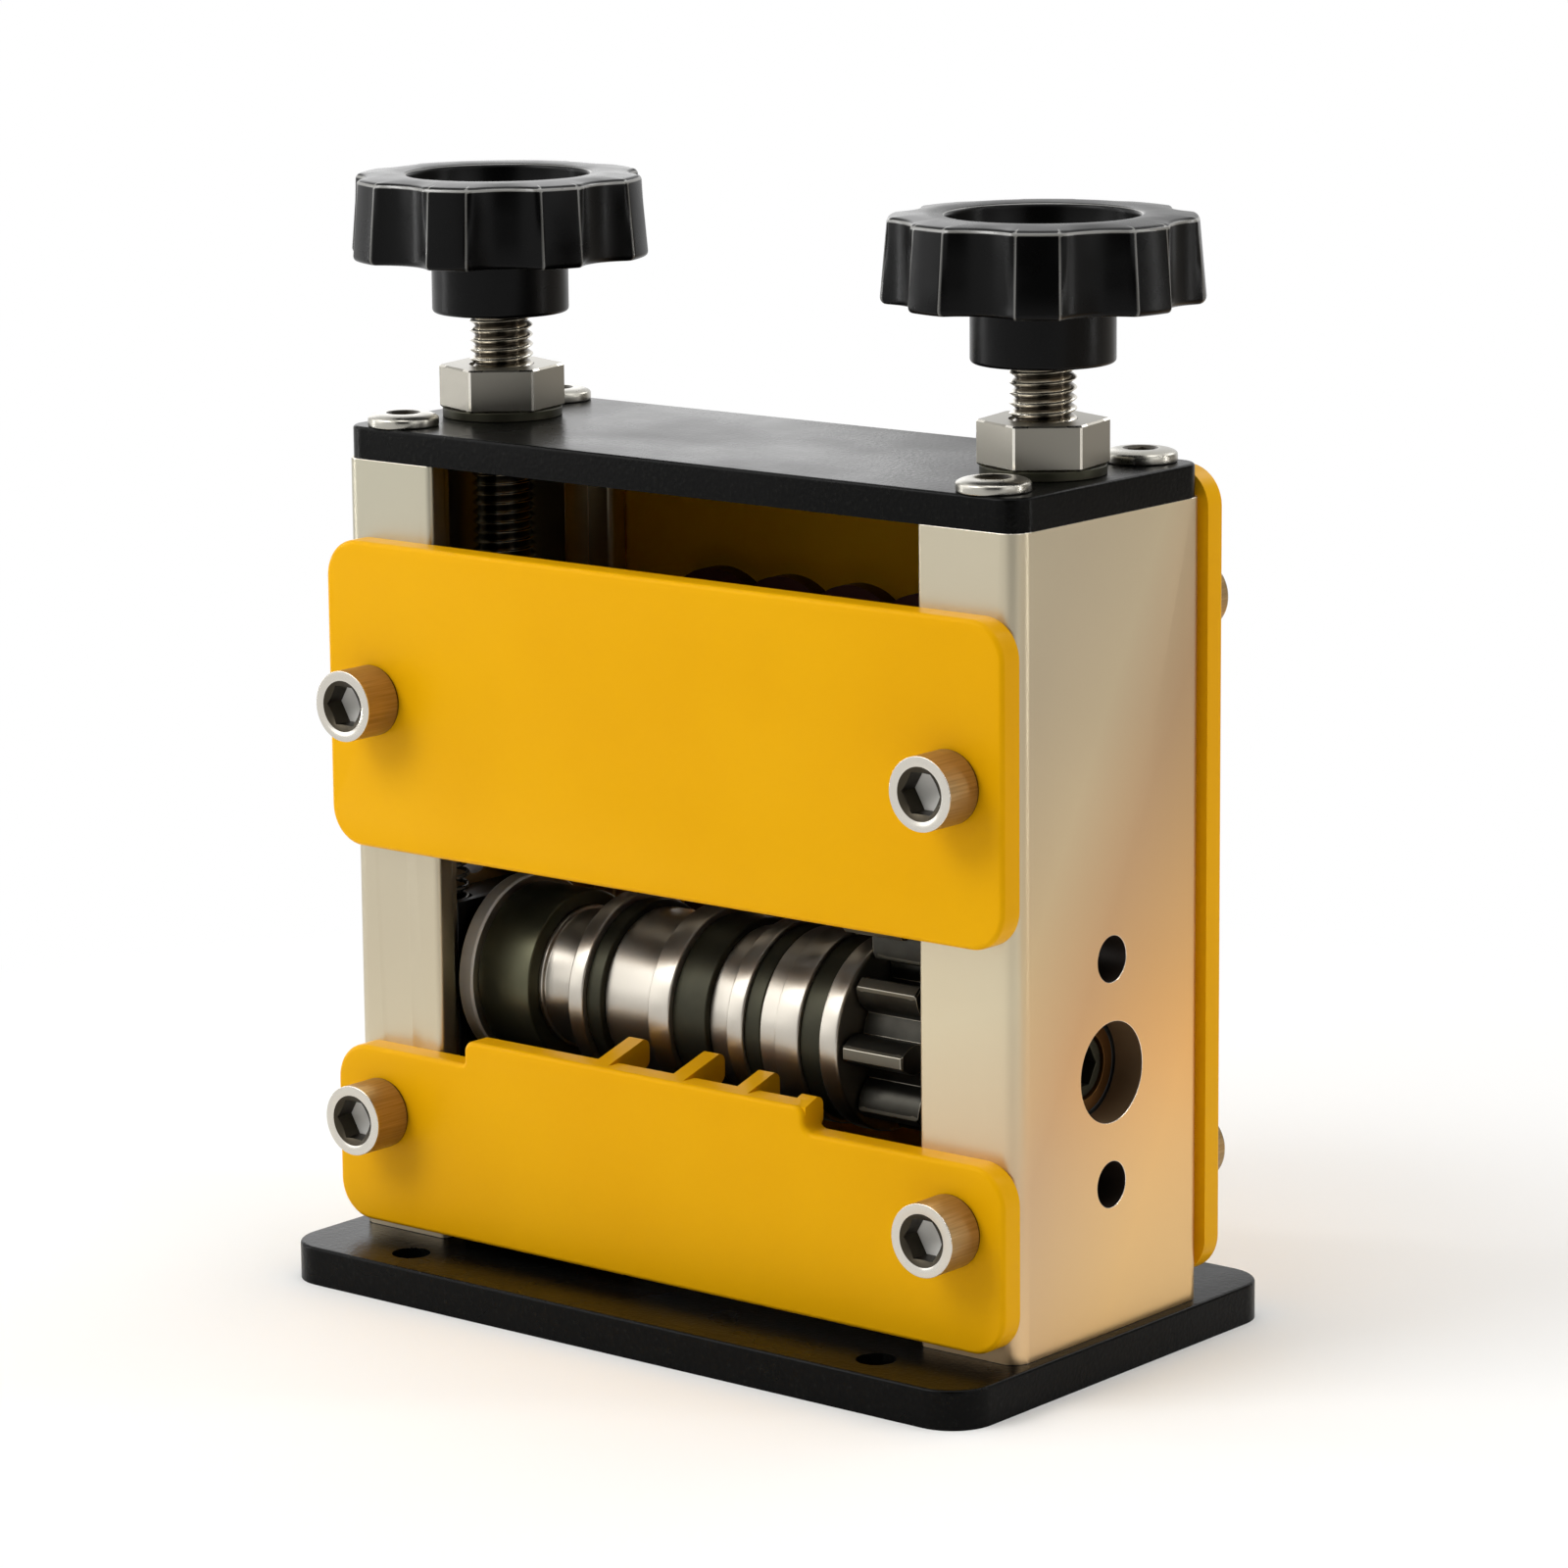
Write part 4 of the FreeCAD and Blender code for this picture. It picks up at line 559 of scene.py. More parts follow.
# Paler tooth edges and tooth lands, a painted highlight.
tooth_edge_highlight = plain("tooth_edge_painted_highlight", "#8e897d", 1.0, 0.3)
tooth_land_highlight = plain("tooth_land_painted_highlight", "#69655a", 0.9, 0.4)
for node, axis in (("drive_gear", DRIVE_AXIS), ("cutter_gear", CUTTER_AXIS)):
    gear = finished(node, teeth, 0.22, edge_material=tooth_edge_highlight)
    low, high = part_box(node)
    tip = max(high.y, high.z - axis[1])
    repaint(gear, tooth_land_highlight, lambda middle, normal: lands(middle, normal, axis, tip))


# ---- guards and rear plate ---------------------------------------------------
# Three 4 mm aluminium plates with rounded edges, powder coated in a warm yellow.
# Cap screws hold them on the front and rear faces of the side channels.

def powder_coat():
    """Polyester powder coat, satin: warm yellow, with orange peel about 2 mm across."""
    material, surface, place = new_material("yellow_powder_coat", "#e5a806", 0.0, 0.34,
                                            Specular_IOR_Level=0.12, Specular_Tint=linear("#ffd070"))
    peel = add(material, "TexNoise", {"Vector": place, "Scale": grains(2.2), "Detail": 2.0})["Fac"]
    cloud = add(material, "TexNoise", {"Vector": place, "Scale": grains(35), "Detail": 2.0})["Fac"]
    add(material, "ValToRGB", {"Fac": cloud}, to=surface["Base Color"],
        stops=[(0.3, "#e3a505"), (0.7, "#e7ab07")])
    add(material, "MapRange", {"Value": peel, **MIDDLE, "To Min": 0.31, "To Max": 0.38},
        to=surface["Roughness"])
    add(material, "Bump", {"Height": peel, "Distance": 0.012 * MM}, to=surface["Normal"])
    return material


yellow = powder_coat()
for node in ("rear_feed_plate", "front_upper_guard"):
    finished(node, yellow)
finished("front_comb_guard", yellow, 0.45)


# ---- rear guide board --------------------------------------------------------
# A 3 mm board of dark acetal behind the cutters, with a scalloped top edge; it is partly a dark sheet
# standing in for the shade behind the rollers, and its dark red brown is painted shade.
# Two small screws hold it on the rear plate.

def black_acetal():
    """Machined acetal: dark red brown and matt, a painted shade, with faint cutter lines drawn coarse, about
    1 mm apart.
    """
    material, surface, place = new_material("black_acetal", "#45170c", 0.0, 0.42, Specular_IOR_Level=0.3)
    lines = add(material, "TexWave",
                {"Vector": place, "Scale": grains(3), "Distortion": 1.0, "Detail": 1.0},
                {"wave_type": "BANDS", "bands_direction": "DIAGONAL"})["Fac"]
    add(material, "Bump", {"Height": lines, "Distance": 0.004 * MM}, to=surface["Normal"])
    return material


finished("rear_guide_board", black_acetal(), 0.2)


# ---- socket screws -----------------------------------------------------------
# Cap screws of stainless steel hold the guards, and low button screws hold the top plate.
# Heads are turned, with an eased rim and a hexagon socket under a wide countersink.

SCREW_SIDES = 96
MOUTH_SHARE = 1.33  # radius of the countersink's mouth over the hexagon's inner radius
COUNTERSINK_SLOPE = 0.6
FLOOR_SHARE = 0.5  # height of the socket's floor over the head's height
DOME_START = 0.12  # share of a quarter turn where a button's dome begins
CAP_SCREW = {"head": 11, "height": 7, "shank": 6, "length": 11.5, "flats": 6}
BUTTON_SCREW = {"shank": 6, "length": 17, "flats": 4, "edge": 0.3, "dome": 0.9}
CAP_SCREWS = [  # node, facing along y, heights, eased edge in mm
    ("upper_guard_screws", -1, (0.0915,), 0.5),
    ("comb_guard_screws", -1, (0.026,), 0.5),
    ("rear_plate_screws", 1, (0.026, 0.111), 0.55),
]
FACE_Y, GUARD_X = 0.027, 0.056
BUTTON_X, BUTTON_Y = 0.057, 0.0178


def hexagon_reach(angle):
    """Distance from the middle of a hexagon of inner radius 1 to its side, along each angle."""
    return 1 / np.cos((angle % (math.pi / 3)) - math.pi / 6)


def screw_mesh(name, seat, direction, head, height, shank, length, flats, edge, dome=0.0):
    """A socket screw, its sizes in mm. The countersink is a cone: depth = (mouth - reach) * slope, where
    reach follows the hexagon. A dome is a quarter of an ellipse. Material 1 is painted shade on the socket's
    walls and the foot of the head, 2 a painted highlight on the socket's floor and 3 a painted reflection of
    the yellow guards on the side of a cap head."""
    rim, stem, apothem = head / 2, shank / 2, flats / 2
    mouth = apothem * MOUTH_SHARE
    floor = height * FLOOR_SHARE
    outside = [(-length, 0), (-length, stem - 0.5), (-length + 0.5, stem), (0, stem), (0, rim),
               (height - dome - edge * 0.4, rim)]
    if dome:
        arc = np.linspace(DOME_START, 1, 7) * math.pi / 2
        inner = mouth + 0.25
        outside += [(height - dome + dome * math.sin(a), inner + (rim - inner) * math.cos(a)) for a in arc]
    else:
        outside += [(height, rim)]
    outside = rounded_profile(outside + [(height, mouth)], edge)
    angle = np.linspace(0, 2 * math.pi, SCREW_SIDES, endpoint=False)
    wall = apothem * hexagon_reach(angle)
    flat = np.ones(SCREW_SIDES)
    reach = np.vstack([outside[:, 1:] * flat, wall, wall, apothem * 0.9 * flat, 0 * flat])
    level = np.vstack([outside[:, :1] * flat, height - (mouth - wall) * COUNTERSINK_SLOPE, floor * flat,
                       floor * flat, (floor - apothem * 0.4) * flat])
    local = np.stack([reach * np.cos(angle), reach * np.sin(angle), level], axis=-1) * MM
    turn = np.array(Vector(direction).to_track_quat("Z", "Y").to_matrix())
    mesh = surface_mesh(name, local @ turn.T + np.array(seat), sharp=30)
    for face in mesh.polygons:
        x, y, z = (Vector(face.center) - Vector(seat)) @ Matrix(turn.tolist()) / MM
        away = math.hypot(x, y)
        if away < mouth * 0.99 and z > floor - apothem * 0.5:
            face.material_index = 2 if z < floor + 0.05 else 1
        elif away > rim * 0.97 and not dome and z < height - edge:
            face.material_index = 3 if z > edge else 1
    return mesh


def stainless(name, colour, roughness):
    """Stainless steel, cold formed and tumbled: bright, with soft smears about 3 mm across."""
    material, surface, place = new_material(name, colour, 1.0, roughness)
    smear = add(material, "TexNoise", {"Vector": place, "Scale": grains(3), "Detail": 2.0})["Fac"]
    add(material, "MapRange", {"Value": smear, **MIDDLE, "To Min": roughness - 0.03,
                               "To Max": roughness + 0.06}, to=surface["Roughness"])
    add(material, "Bump", {"Height": smear, "Distance": 0.006 * MM}, to=surface["Normal"])
    return material


def painted_reflection_head_side():
    """The side of a cap head: brown, a painted reflection of the yellow guards beside it, with knurl lines
    along the screw drawn 0.3 mm apart.
    """
    material, surface, place = new_material("head_side_painted_reflection", "#a18559", 0.75, 0.38)
    along = add(material, "Mapping", {"Vector": place, "Scale": (1.0, 0.03, 1.0)})["Vector"]
    lines = add(material, "TexNoise", {"Vector": along, "Scale": grains(0.3), "Detail": 1.0})["Fac"]
    add(material, "ValToRGB", {"Fac": lines}, to=surface["Base Color"],
        stops=[(0.3, "#947a50"), (0.7, "#ab8f63")])
    add(material, "Bump", {"Height": lines, "Distance": 0.02 * MM}, to=surface["Normal"])
    return material


def screws(node, heads, material):
    """The joined heads, with painted shade on their socket walls, a painted highlight on their socket floors
    and a painted reflection of the yellow guards on their brown knurled sides.
    """
    piece = new_piece(node + "_turned", joined(node, heads), material, "frame", (node,))
    for other in (socket_wall_shade, socket_floor_highlight, head_side_reflection):
        piece.data.materials.append(other)


# Socket walls and the feet of the heads are painted dark as painted shade, socket floors near white as a
# painted highlight.
socket_wall_shade = plain("socket_wall_painted_shade", "#3b362d", 1.0, 0.4)
socket_floor_highlight = plain("socket_floor_painted_highlight", "#f6f4ee", 0.0, 0.6)
head_side_reflection = painted_reflection_head_side()
bright_screws = stainless("stainless_steel", "#cdc8be", 0.17)
dull_screws = stainless("dull_stainless_steel", "#a9a69d", 0.27)
for node, facing, heights, edge in CAP_SCREWS:
    screws(node, [screw_mesh(node, (x, facing * FACE_Y, z), (0, facing, 0), edge=edge, **CAP_SCREW)
                  for x in (-GUARD_X, GUARD_X) for z in heights], bright_screws)
plate_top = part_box("top_plate")[1].z
button_low, button_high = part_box("top_plate_screws")
button_head = (button_high.x - button_low.x - 2 * BUTTON_X) / MM
button_height = (button_high.z - plate_top) / MM
node = "top_plate_screws"
screws(node, [screw_mesh(node, (x, y, plate_top), (0, 0, 1), button_head, button_height, **BUTTON_SCREW)
              for x in (-BUTTON_X, BUTTON_X) for y in (-BUTTON_Y, BUTTON_Y)], dull_screws)
for node in ("base_plate_screws", "lower_block_screws", "guide_board_screws", "keeper_screws"):
    finished(node, bright_screws, 0.15)


# ---- adjusting screws --------------------------------------------------------
# Two M10 screws of stainless steel with a 1.5 mm pitch rolled thread and a necked toe.
# Each turns in the top plate and lifts or lowers a sliding block.

ADJUSTER_X = 0.0525
ADJUSTERS = [("left", -ADJUSTER_X), ("right", ADJUSTER_X)]
THREAD_PITCH = 0.0015
THREAD_DEPTH = 0.00092
THREAD_OUTSIDE = 0.005
THREAD_SIDES = 72
THREAD_ROWS = 12  # rows of points a pitch
ROOT_REACH = 0.00403
BLANK = [  # (from 0 at the toe or 1 at the top, offset in mm, radius in mm)
    (0, 0, 4.3), (0, 2.45, 4.3), (0, 2.55, 3), (0, 4.7, 3), (0, 4.8, 4.2), (0, 5.6, 4.95), (1, -0.7, 4.95),
    (1, 0, 4.3)]


def threaded_rod(name, x, low, high):
    """Rows follow the helix: height = pitch * (row / rows a pitch + turn), so a row keeps its place in the
    groove, the crests are crisp, and a row's end meets the row one pitch higher. Attribute "crest" is 0 at
    the root and 1 outside."""
    blank = np.array([(high if end else low) + offset * MM for end, offset, _ in BLANK])
    radii = np.array([radius * MM for _, _, radius in BLANK])
    count = int((high - low) / THREAD_PITCH * THREAD_ROWS) + 2 * THREAD_ROWS + 2
    angle = np.linspace(0, 2 * math.pi, THREAD_SIDES + 1)
    row = np.arange(count)[:, None] - THREAD_ROWS
    height = np.clip(low + THREAD_PITCH * (row / THREAD_ROWS + angle / (2 * math.pi)), low, high)
    phase = ((height - low) / THREAD_PITCH - angle / (2 * math.pi)) % 1.0
    groove = np.clip(1.25 * (1 - np.abs(2 * phase - 1)) - 0.125, 0, 1)
    solid = np.interp(height, blank, radii)
    cut = np.clip(solid - (THREAD_OUTSIDE - THREAD_DEPTH), 0, THREAD_DEPTH)
    reach = solid - groove * cut
    grid = np.stack([x + reach * np.cos(angle), reach * np.sin(angle), height], axis=-1)
    mesh = surface_mesh(name, grid, wrap_round=False, sharp=40)
    spots = np.zeros(len(mesh.vertices) * 3)
    mesh.vertices.foreach_get("co", spots)
    away = np.hypot(spots[0::3] - x, spots[1::3])
    crest = mesh.attributes.new("crest", "FLOAT", "POINT")
    crest.data.foreach_set("value", (away - ROOT_REACH) / THREAD_DEPTH)
    return mesh


def rolled_thread():
    """Rolled stainless thread: crests painted bright and grooves painted dark by the attribute "crest", a
    painted highlight on the crests and painted shade in the grooves.
    """
    material, surface, place = new_material("rolled_thread_steel", "#aba59a", 1.0, 0.2)
    crest = add(material, "Attribute", settings={"attribute_name": "crest"})["Fac"]
    add(material, "ValToRGB", {"Fac": crest}, to=surface["Base Color"],
        stops=[(0.0, "#38322a"), (0.4, "#8a8377"), (0.8, "#d6d1c6")])
    smear = add(material, "TexNoise", {"Vector": place, "Scale": grains(8), "Detail": 2.0})["Fac"]
    add(material, "MapRange", {"Value": smear, **MIDDLE, "To Min": 0.17, "To Max": 0.26},
        to=surface["Roughness"])
    return material


thread_steel = rolled_thread()
for side, x in ADJUSTERS:
    node = side + "_adjusting_screw"
    low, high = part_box(node)
    new_piece(node + "_threaded", threaded_rod(node, x, low.z, high.z), thread_steel, side + "_adjuster",
              (node,))


# ---- lock nuts and washers ---------------------------------------------------
# Hexagon nuts of zinc plated steel, broken at the corners and rims, over blackened washers.
# They lock the adjusting screws on the top plate.

NUT_BORE = 0.00505
NUT_CORNER_FLAT = 0.00044
NUT_BROKEN_RIM = 0.00028
NUT_FLATS_REACH = 0.0088  # faces painted with a highlight lie past this radius
NUT_CORNER_REACH = 0.0095
KNOB_NUT_SHARP = 25  # degrees


def zinc_plate():
    """Zinc plated steel, dulled: warm mid grey satin, with a grain drawn 0.4 mm across."""
    material, surface, place = new_material("zinc_plated_steel", "#98948a", 1.0, 0.36)
    fine = add(material, "TexNoise", {"Vector": place, "Scale": grains(0.4), "Detail": 2.0})["Fac"]
    add(material, "Bump", {"Height": fine, "Distance": 0.006 * MM}, to=surface["Normal"])
    return material


def hex_nut(name, x, low, high, corner, bearing):
    """A hexagon prism round a bore, to a corner radius and that corner's bearing. Reach along each angle is
    the hexagon's, cut flat across the corners, and each rim is broken by the same amount up and in."""
    half = NUT_CORNER_FLAT / 2 / corner
    side = np.concatenate([[-half], np.linspace(half, math.pi / 3 - half, 12)[:-1]])
    angle = (side[None, :] + (np.arange(6) * math.pi / 3)[:, None]).ravel()
    wall = corner * math.cos(math.pi / 6) * hexagon_reach(angle + math.pi / 3)
    hole = np.full_like(wall, NUT_BORE)
    reach = np.array([hole, wall - NUT_BROKEN_RIM, wall, wall, wall - NUT_BROKEN_RIM, hole])
    levels = np.array([low, low, low + NUT_BROKEN_RIM, high - NUT_BROKEN_RIM, high, high])
    height = np.repeat(levels[:, None], len(angle), axis=1)
    grid = np.stack([x + reach * np.cos(angle + bearing), reach * np.sin(angle + bearing), height], axis=-1)
    return surface_mesh(name, grid, wrap_along=True, sharp=20)


def rims(middle, normal):
    """The broken rims of a nut and its corner flats, but not its bore or its flats."""
    away = np.hypot(np.abs(middle[:, 0]) - ADJUSTER_X, middle[:, 1])
    upward = np.abs(normal[:, 2])
    return (away > NUT_FLATS_REACH) & (upward < 0.95) & ((upward > 0.3) | (away > NUT_CORNER_REACH))


zinc = zinc_plate()
# Nut rims, corner flats and the knob nuts' eased edges are painted pale, a painted highlight.
steel_edge_highlight = plain("steel_edge_painted_highlight", "#e0dcd2", 1.0, 0.22)
for side, x in ADJUSTERS:
    node = side + "_lock_nut"
    low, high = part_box(node)
    spots = np.array([point.co for point in frame["nodes"][node].data.vertices]) - (x, 0, 0)
    corner = spots[np.argmax(np.hypot(spots[:, 0], spots[:, 1]))]
    mesh = hex_nut(node, x, low.z, high.z, math.hypot(*corner[:2]), math.atan2(corner[1], corner[0]))
    nut = new_piece(node + "_cut", mesh, zinc, side + "_nut", (node,))
    repaint(nut, steel_edge_highlight, rims)
    finished(side + "_knob_nut", zinc, 0.2, KNOB_NUT_SHARP, edge_material=steel_edge_highlight)
finished("lock_washers", oxide, 0.15)


# ---- star knobs --------------------------------------------------------------
# Moulded phenolic knobs with eight finger flutes, a hub below and a dished top.
# The mould was polished, so they are glossy black; their rims and flute edges are painted pale as a painted
# highlight.

LOBES = 8
LOBE_STEPS = 64
KNOB_LOW, KNOB_HIGH = 0.0235, 0.0225
FLUTE_RADIUS, FLUTE_DEPTH = 0.0095, 0.0028
EDGE_SOFTNESS = 0.00035
RIM_HEIGHT, DISH_DEPTH = 0.013, 0.008
HUB_RADIUS, KNOB_BORE, DISH_RADIUS = 0.0106, 0.00502, 0.014
HUB_EASE, RIM_EASE, DISH_EASE = 0.0006, 0.0009, 0.0008
UNDERSIDE = (0.015, 0.018)  # radii of the flat between the hub and the rim
CROWN = 0.0004
CROWN_ROWS = [(0.00012, 0.0186), (0.0, 0.0171), (0.00005, 0.0158)]  # depth below the top, radius
CROWN_REACH = 0.0188  # radius outside the crowned top
# Bands round the outer rim and the dish rim that carry the painted highlight.
OUTER_HIGHLIGHT_BAND, INNER_HIGHLIGHT_BAND = (0.00085, 0.0002), (0.0004, 0.00012)  # depth below the top, half width
KNOB_TURNS = {"left": 21.5, "right": 34.8}
KNOB_ZERO = 90  # degrees from a lobe's bearing to the front


def star_reach(angle, rim):
    """Lobe circle or flute circle, whichever is nearer the axis, blended where they meet, and that blend."""
    step = 2 * math.pi / LOBES
    off = (angle % step) - step / 2
    centre = KNOB_LOW + FLUTE_RADIUS - FLUTE_DEPTH
    inside = np.clip(FLUTE_RADIUS ** 2 - (centre * np.sin(off)) ** 2, 0, None)
    flute = np.where(inside > 0, centre * np.cos(off) - np.sqrt(inside), 1.0)
    blend = np.clip(0.5 + 0.5 * (flute - rim) / EDGE_SOFTNESS, 0, 1)
    return flute * (1 - blend) + rim * blend - EDGE_SOFTNESS * blend * (1 - blend), blend


def star_knob(name, x, low, high, turn):
    """Rows of (height, size, low star, high star) carried round: reach = size + the shares of the two stars'
    reach, so that a row with no share is a circle."""
    rim_low = high - RIM_HEIGHT
    dish = high - DISH_DEPTH
    shoulder = high - CROWN - RIM_EASE
    ease = np.linspace(0, math.pi / 2, 6)
    foot = HUB_RADIUS - HUB_EASE
    rows = [(low, KNOB_BORE, 0, 0), (low, foot, 0, 0)]
    rows += [(low + HUB_EASE * (1 - math.cos(a)), foot + HUB_EASE * math.sin(a), 0, 0) for a in ease]
    rows += [(rim_low - HUB_EASE, HUB_RADIUS, 0, 0)]
    rows += [(rim_low - HUB_EASE * (1 - math.sin(a)), HUB_RADIUS + HUB_EASE * (1 - math.cos(a)), 0, 0)
             for a in ease]
    rows += [(rim_low, radius, 0, 0) for radius in UNDERSIDE]
    rows += [(rim_low + RIM_EASE * (1 - math.cos(a)), -RIM_EASE * (1 - math.sin(a)), 1, 0) for a in ease]
    rows += [(shoulder - (1 - t) * (shoulder - rim_low - RIM_EASE), 0, 1 - t, t) for t in (0.33, 0.66, 1.0)]
    rows += [(shoulder + RIM_EASE * math.sin(a), -RIM_EASE * (1 - math.cos(a)), 0, 1) for a in ease[1:]]
    rows += [(high - depth, radius, 0, 0) for depth, radius in CROWN_ROWS]
    rows += [(high - 0.001 + DISH_EASE * math.cos(a), DISH_RADIUS + DISH_EASE * (1 - math.sin(a)), 0, 0)
             for a in ease]
    rows += [(dish + 0.001, DISH_RADIUS - 0.0004, 0, 0), (dish, DISH_RADIUS - 0.0012, 0, 0),
             (dish, KNOB_BORE, 0, 0)]
    height, size, low_share, high_share = np.array(rows).T[:, :, None]
    angle = np.linspace(0, 2 * math.pi, LOBES * LOBE_STEPS, endpoint=False)
    reach = size + low_share * star_reach(angle, KNOB_LOW)[0] + high_share * star_reach(angle, KNOB_HIGH)[0]
    bearing = angle + math.radians(turn - KNOB_ZERO)
    grid = np.stack([x + reach * np.cos(bearing), reach * np.sin(bearing), height + 0 * angle], axis=-1)
    mesh = surface_mesh(name, grid, wrap_along=True, sharp=50)
    mark_painted_edge_highlight(mesh, x, high, turn)
    return mesh


def mark_painted_edge_highlight(mesh, x, high, turn):
    """The painted highlight as a point attribute: 1 round the rims, and 4 b (1 - b) of the flute edges' blend
    b along them.
    """
    spots = np.zeros(len(mesh.vertices) * 3)
    mesh.vertices.foreach_get("co", spots)
    spots = spots.reshape(-1, 3) - (x, 0, high)
    away = np.hypot(spots[:, 0], spots[:, 1])
    bearing = np.arctan2(spots[:, 1], spots[:, 0])
    blend = star_reach(bearing - math.radians(turn - KNOB_ZERO), KNOB_LOW)[1]
    value = 4 * blend * (1 - blend) * (away > CROWN_REACH)
    outer, inner = (np.abs(spots[:, 2] + depth) < half for depth, half in (OUTER_HIGHLIGHT_BAND, INNER_HIGHLIGHT_BAND))
    rim = np.where(away > CROWN_REACH, outer, inner)
    mesh.attributes.new("painted_edge_highlight", "FLOAT", "POINT").data.foreach_set("value", np.maximum(value, rim * 1.0))


def phenolic():
    """Phenolic moulding: deep black with a soft gloss and 6 mm flow ripples. The rims and flute edges are
    painted pale grey with a raised specular level, a painted highlight.
    """
    material, surface, place = new_material("moulded_phenolic", "#030303", 0.0, 0.28, Specular_IOR_Level=0.12)
    ripple = add(material, "TexNoise", {"Vector": place, "Scale": grains(6), "Detail": 2.0})["Fac"]
    painted_edge_highlight = add(material, "Attribute", settings={"attribute_name": "painted_edge_highlight"})["Fac"]
    add(material, "MapRange", {"Value": painted_edge_highlight, "From Min": 0.4, "From Max": 1.0, "To Min": 0.12,
                               "To Max": 1.0}, to=surface["Specular IOR Level"])
    add(material, "ValToRGB", {"Fac": painted_edge_highlight}, to=surface["Base Color"],
        stops=[(0.5, "#030303"), (0.95, "#757470")])
    add(material, "MapRange", {"Value": ripple, **MIDDLE, "To Min": 0.25, "To Max": 0.32},
        to=surface["Roughness"])
    add(material, "Bump", {"Height": ripple, "Distance": 0.02 * MM}, to=surface["Normal"])
    return material


gloss = phenolic()
for side, x in ADJUSTERS:
    node = side + "_knob"
    low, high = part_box(node)
    new_piece(node + "_moulded", star_knob(node, x, low.z, high.z, KNOB_TURNS[side]), gloss,
              side + "_adjuster", (node,))


# ---- studio ------------------------------------------------------------------
# A white floor, soft lamps above, in front and behind, and two strips that draw bright edge lines.
# A dark flag behind the camera, a grey card and a warm card give the metal dark bands and a warm side.

FLOOR_REACH = 6
FADE_START, FADE_END = 0.08, 0.27  # metres from the object over which the floor turns to plain white
WORLD_STRENGTH = 0.4
WARM_CARD = [(0.301, -0.127), (1.24, -0.235), (0.417, 1.391), (-0.2, 0.627)]
WARM_CARD_HEIGHT = 0.001
LAMPS = [  # name, place, target, width and height in metres, watts
    ("key", (-0.5, -0.9, 1.0), (0, 0, 0.08), (0.7, 0.7), 9),
    ("low_front", (-0.85, -0.85, 0.45), (0, 0, 0.06), (0.5, 0.8), 1.8),
    ("top", (0.1, 0.1, 1.2), (0, 0, 0.1), (0.8, 0.8), 5),
    ("right", (1.2, -0.1, 0.5), (0, 0, 0.08), (0.5, 0.8), 0.9),
    ("rear_left", (-1.55, 1.26, 0.65), (0, 0, 0.13), (0.98, 0.9), 3),
    ("rear", (0.3, 1.1, 0.9), (0, 0, 0.12), (0.9, 0.4), 3),
    ("left_strip", (-0.56, -0.2, 0.4), (0, 0, 0.4), (0.03, 0.8), 0.9),
    ("right_strip", (0.52, 0.3, 0.4), (0, 0, 0.4), (0.03, 0.8), 0.9),
]
CAMERA_PLACE = (0.565293, -0.685819, 0.261422)
YAW, PITCH, ROLL = math.radians(39.325), math.radians(11.498), math.radians(-0.529)
SENSOR_MM = 36
FOCAL_PIXELS, FRAME_PIXELS = 6088.8, 1600


def seen(owner):
    """1 for rays from the camera, and for mirror and glass rays, which show the same white surround."""
    rays = add(owner, "LightPath")
    value = rays["Is Camera Ray"]
    for name in ("Is Glossy Ray", "Is Transmission Ray"):
        value = add(owner, "Math", {0: value, 1: rays[name]}, {"operation": "MAXIMUM"})[0]
    return value


def pale_floor():
    """Matt white floor that holds the object's shadow, and turns to plain white away from the object."""
    material, _, place = new_material("pale_floor", "#f6f6f5", 0.0, 0.9, Specular_IOR_Level=0.0)
    nodes = material.node_tree.nodes
    away = add(material, "VectorMath", {0: place}, {"operation": "LENGTH"})["Value"]
    far = add(material, "MapRange", {"Value": away, "From Min": FADE_START, "From Max": FADE_END,
                                     "To Min": 0.0, "To Max": 1.0})["Result"]
    share = add(material, "Math", {0: far, 1: seen(material)}, {"operation": "MULTIPLY"})[0]
    white = add(material, "Emission", {"Color": (1, 1, 1, 1), "Strength": 1.0})[0]
    add(material, "MixShader", {0: share, 1: nodes["Principled BSDF"].outputs[0], 2: white},
        to=nodes["Material Output"].inputs["Surface"])
    return material


def panel(name, corners, material):
    """A flat four-cornered piece of the studio."""
    mesh = bpy.data.meshes.new(name)
    mesh.from_pydata(corners, [], [(0, 1, 2, 3)])
    mesh.materials.append(material)
    piece = bpy.data.objects.new(name, mesh)
    bpy.context.scene.collection.objects.link(piece)


def upright_panel(name, middle, width, high, material):
    """A panel that stands on the floor and faces the object. Its ends lie across the line to the middle."""
    facing = math.hypot(*middle)
    x, y = -middle[1] / facing * width / 2, middle[0] / facing * width / 2
    ends = [(middle[0] - x, middle[1] - y), (middle[0] + x, middle[1] + y)]
    panel(name, [(*ends[0], 0), (*ends[1], 0), (*ends[1], high), (*ends[0], high)], material)


def unseen(material, shader):
    """Sends the shader to the output, clear to the camera, so that a card shows only in reflections."""
    direct = add(material, "LightPath")["Is Camera Ray"]
    clear = add(material, "BsdfTransparent")[0]
    add(material, "MixShader", {0: direct, 1: shader, 2: clear},
        to=material.node_tree.nodes["Material Output"].inputs["Surface"])


def card(name, strength, stops):
    """A glowing card with a colour ramp over the distance from the object in metres."""
    material = bpy.data.materials.new(name)
    material.use_nodes = True
    place = add(material, "TexCoord")["Object"]
    away = add(material, "VectorMath", {0: place}, {"operation": "LENGTH"})["Value"]
    colour = add(material, "ValToRGB", {"Fac": away}, stops=stops)["Color"]
    unseen(material, add(material, "Emission", {"Color": colour, "Strength": strength})[0])
    return material


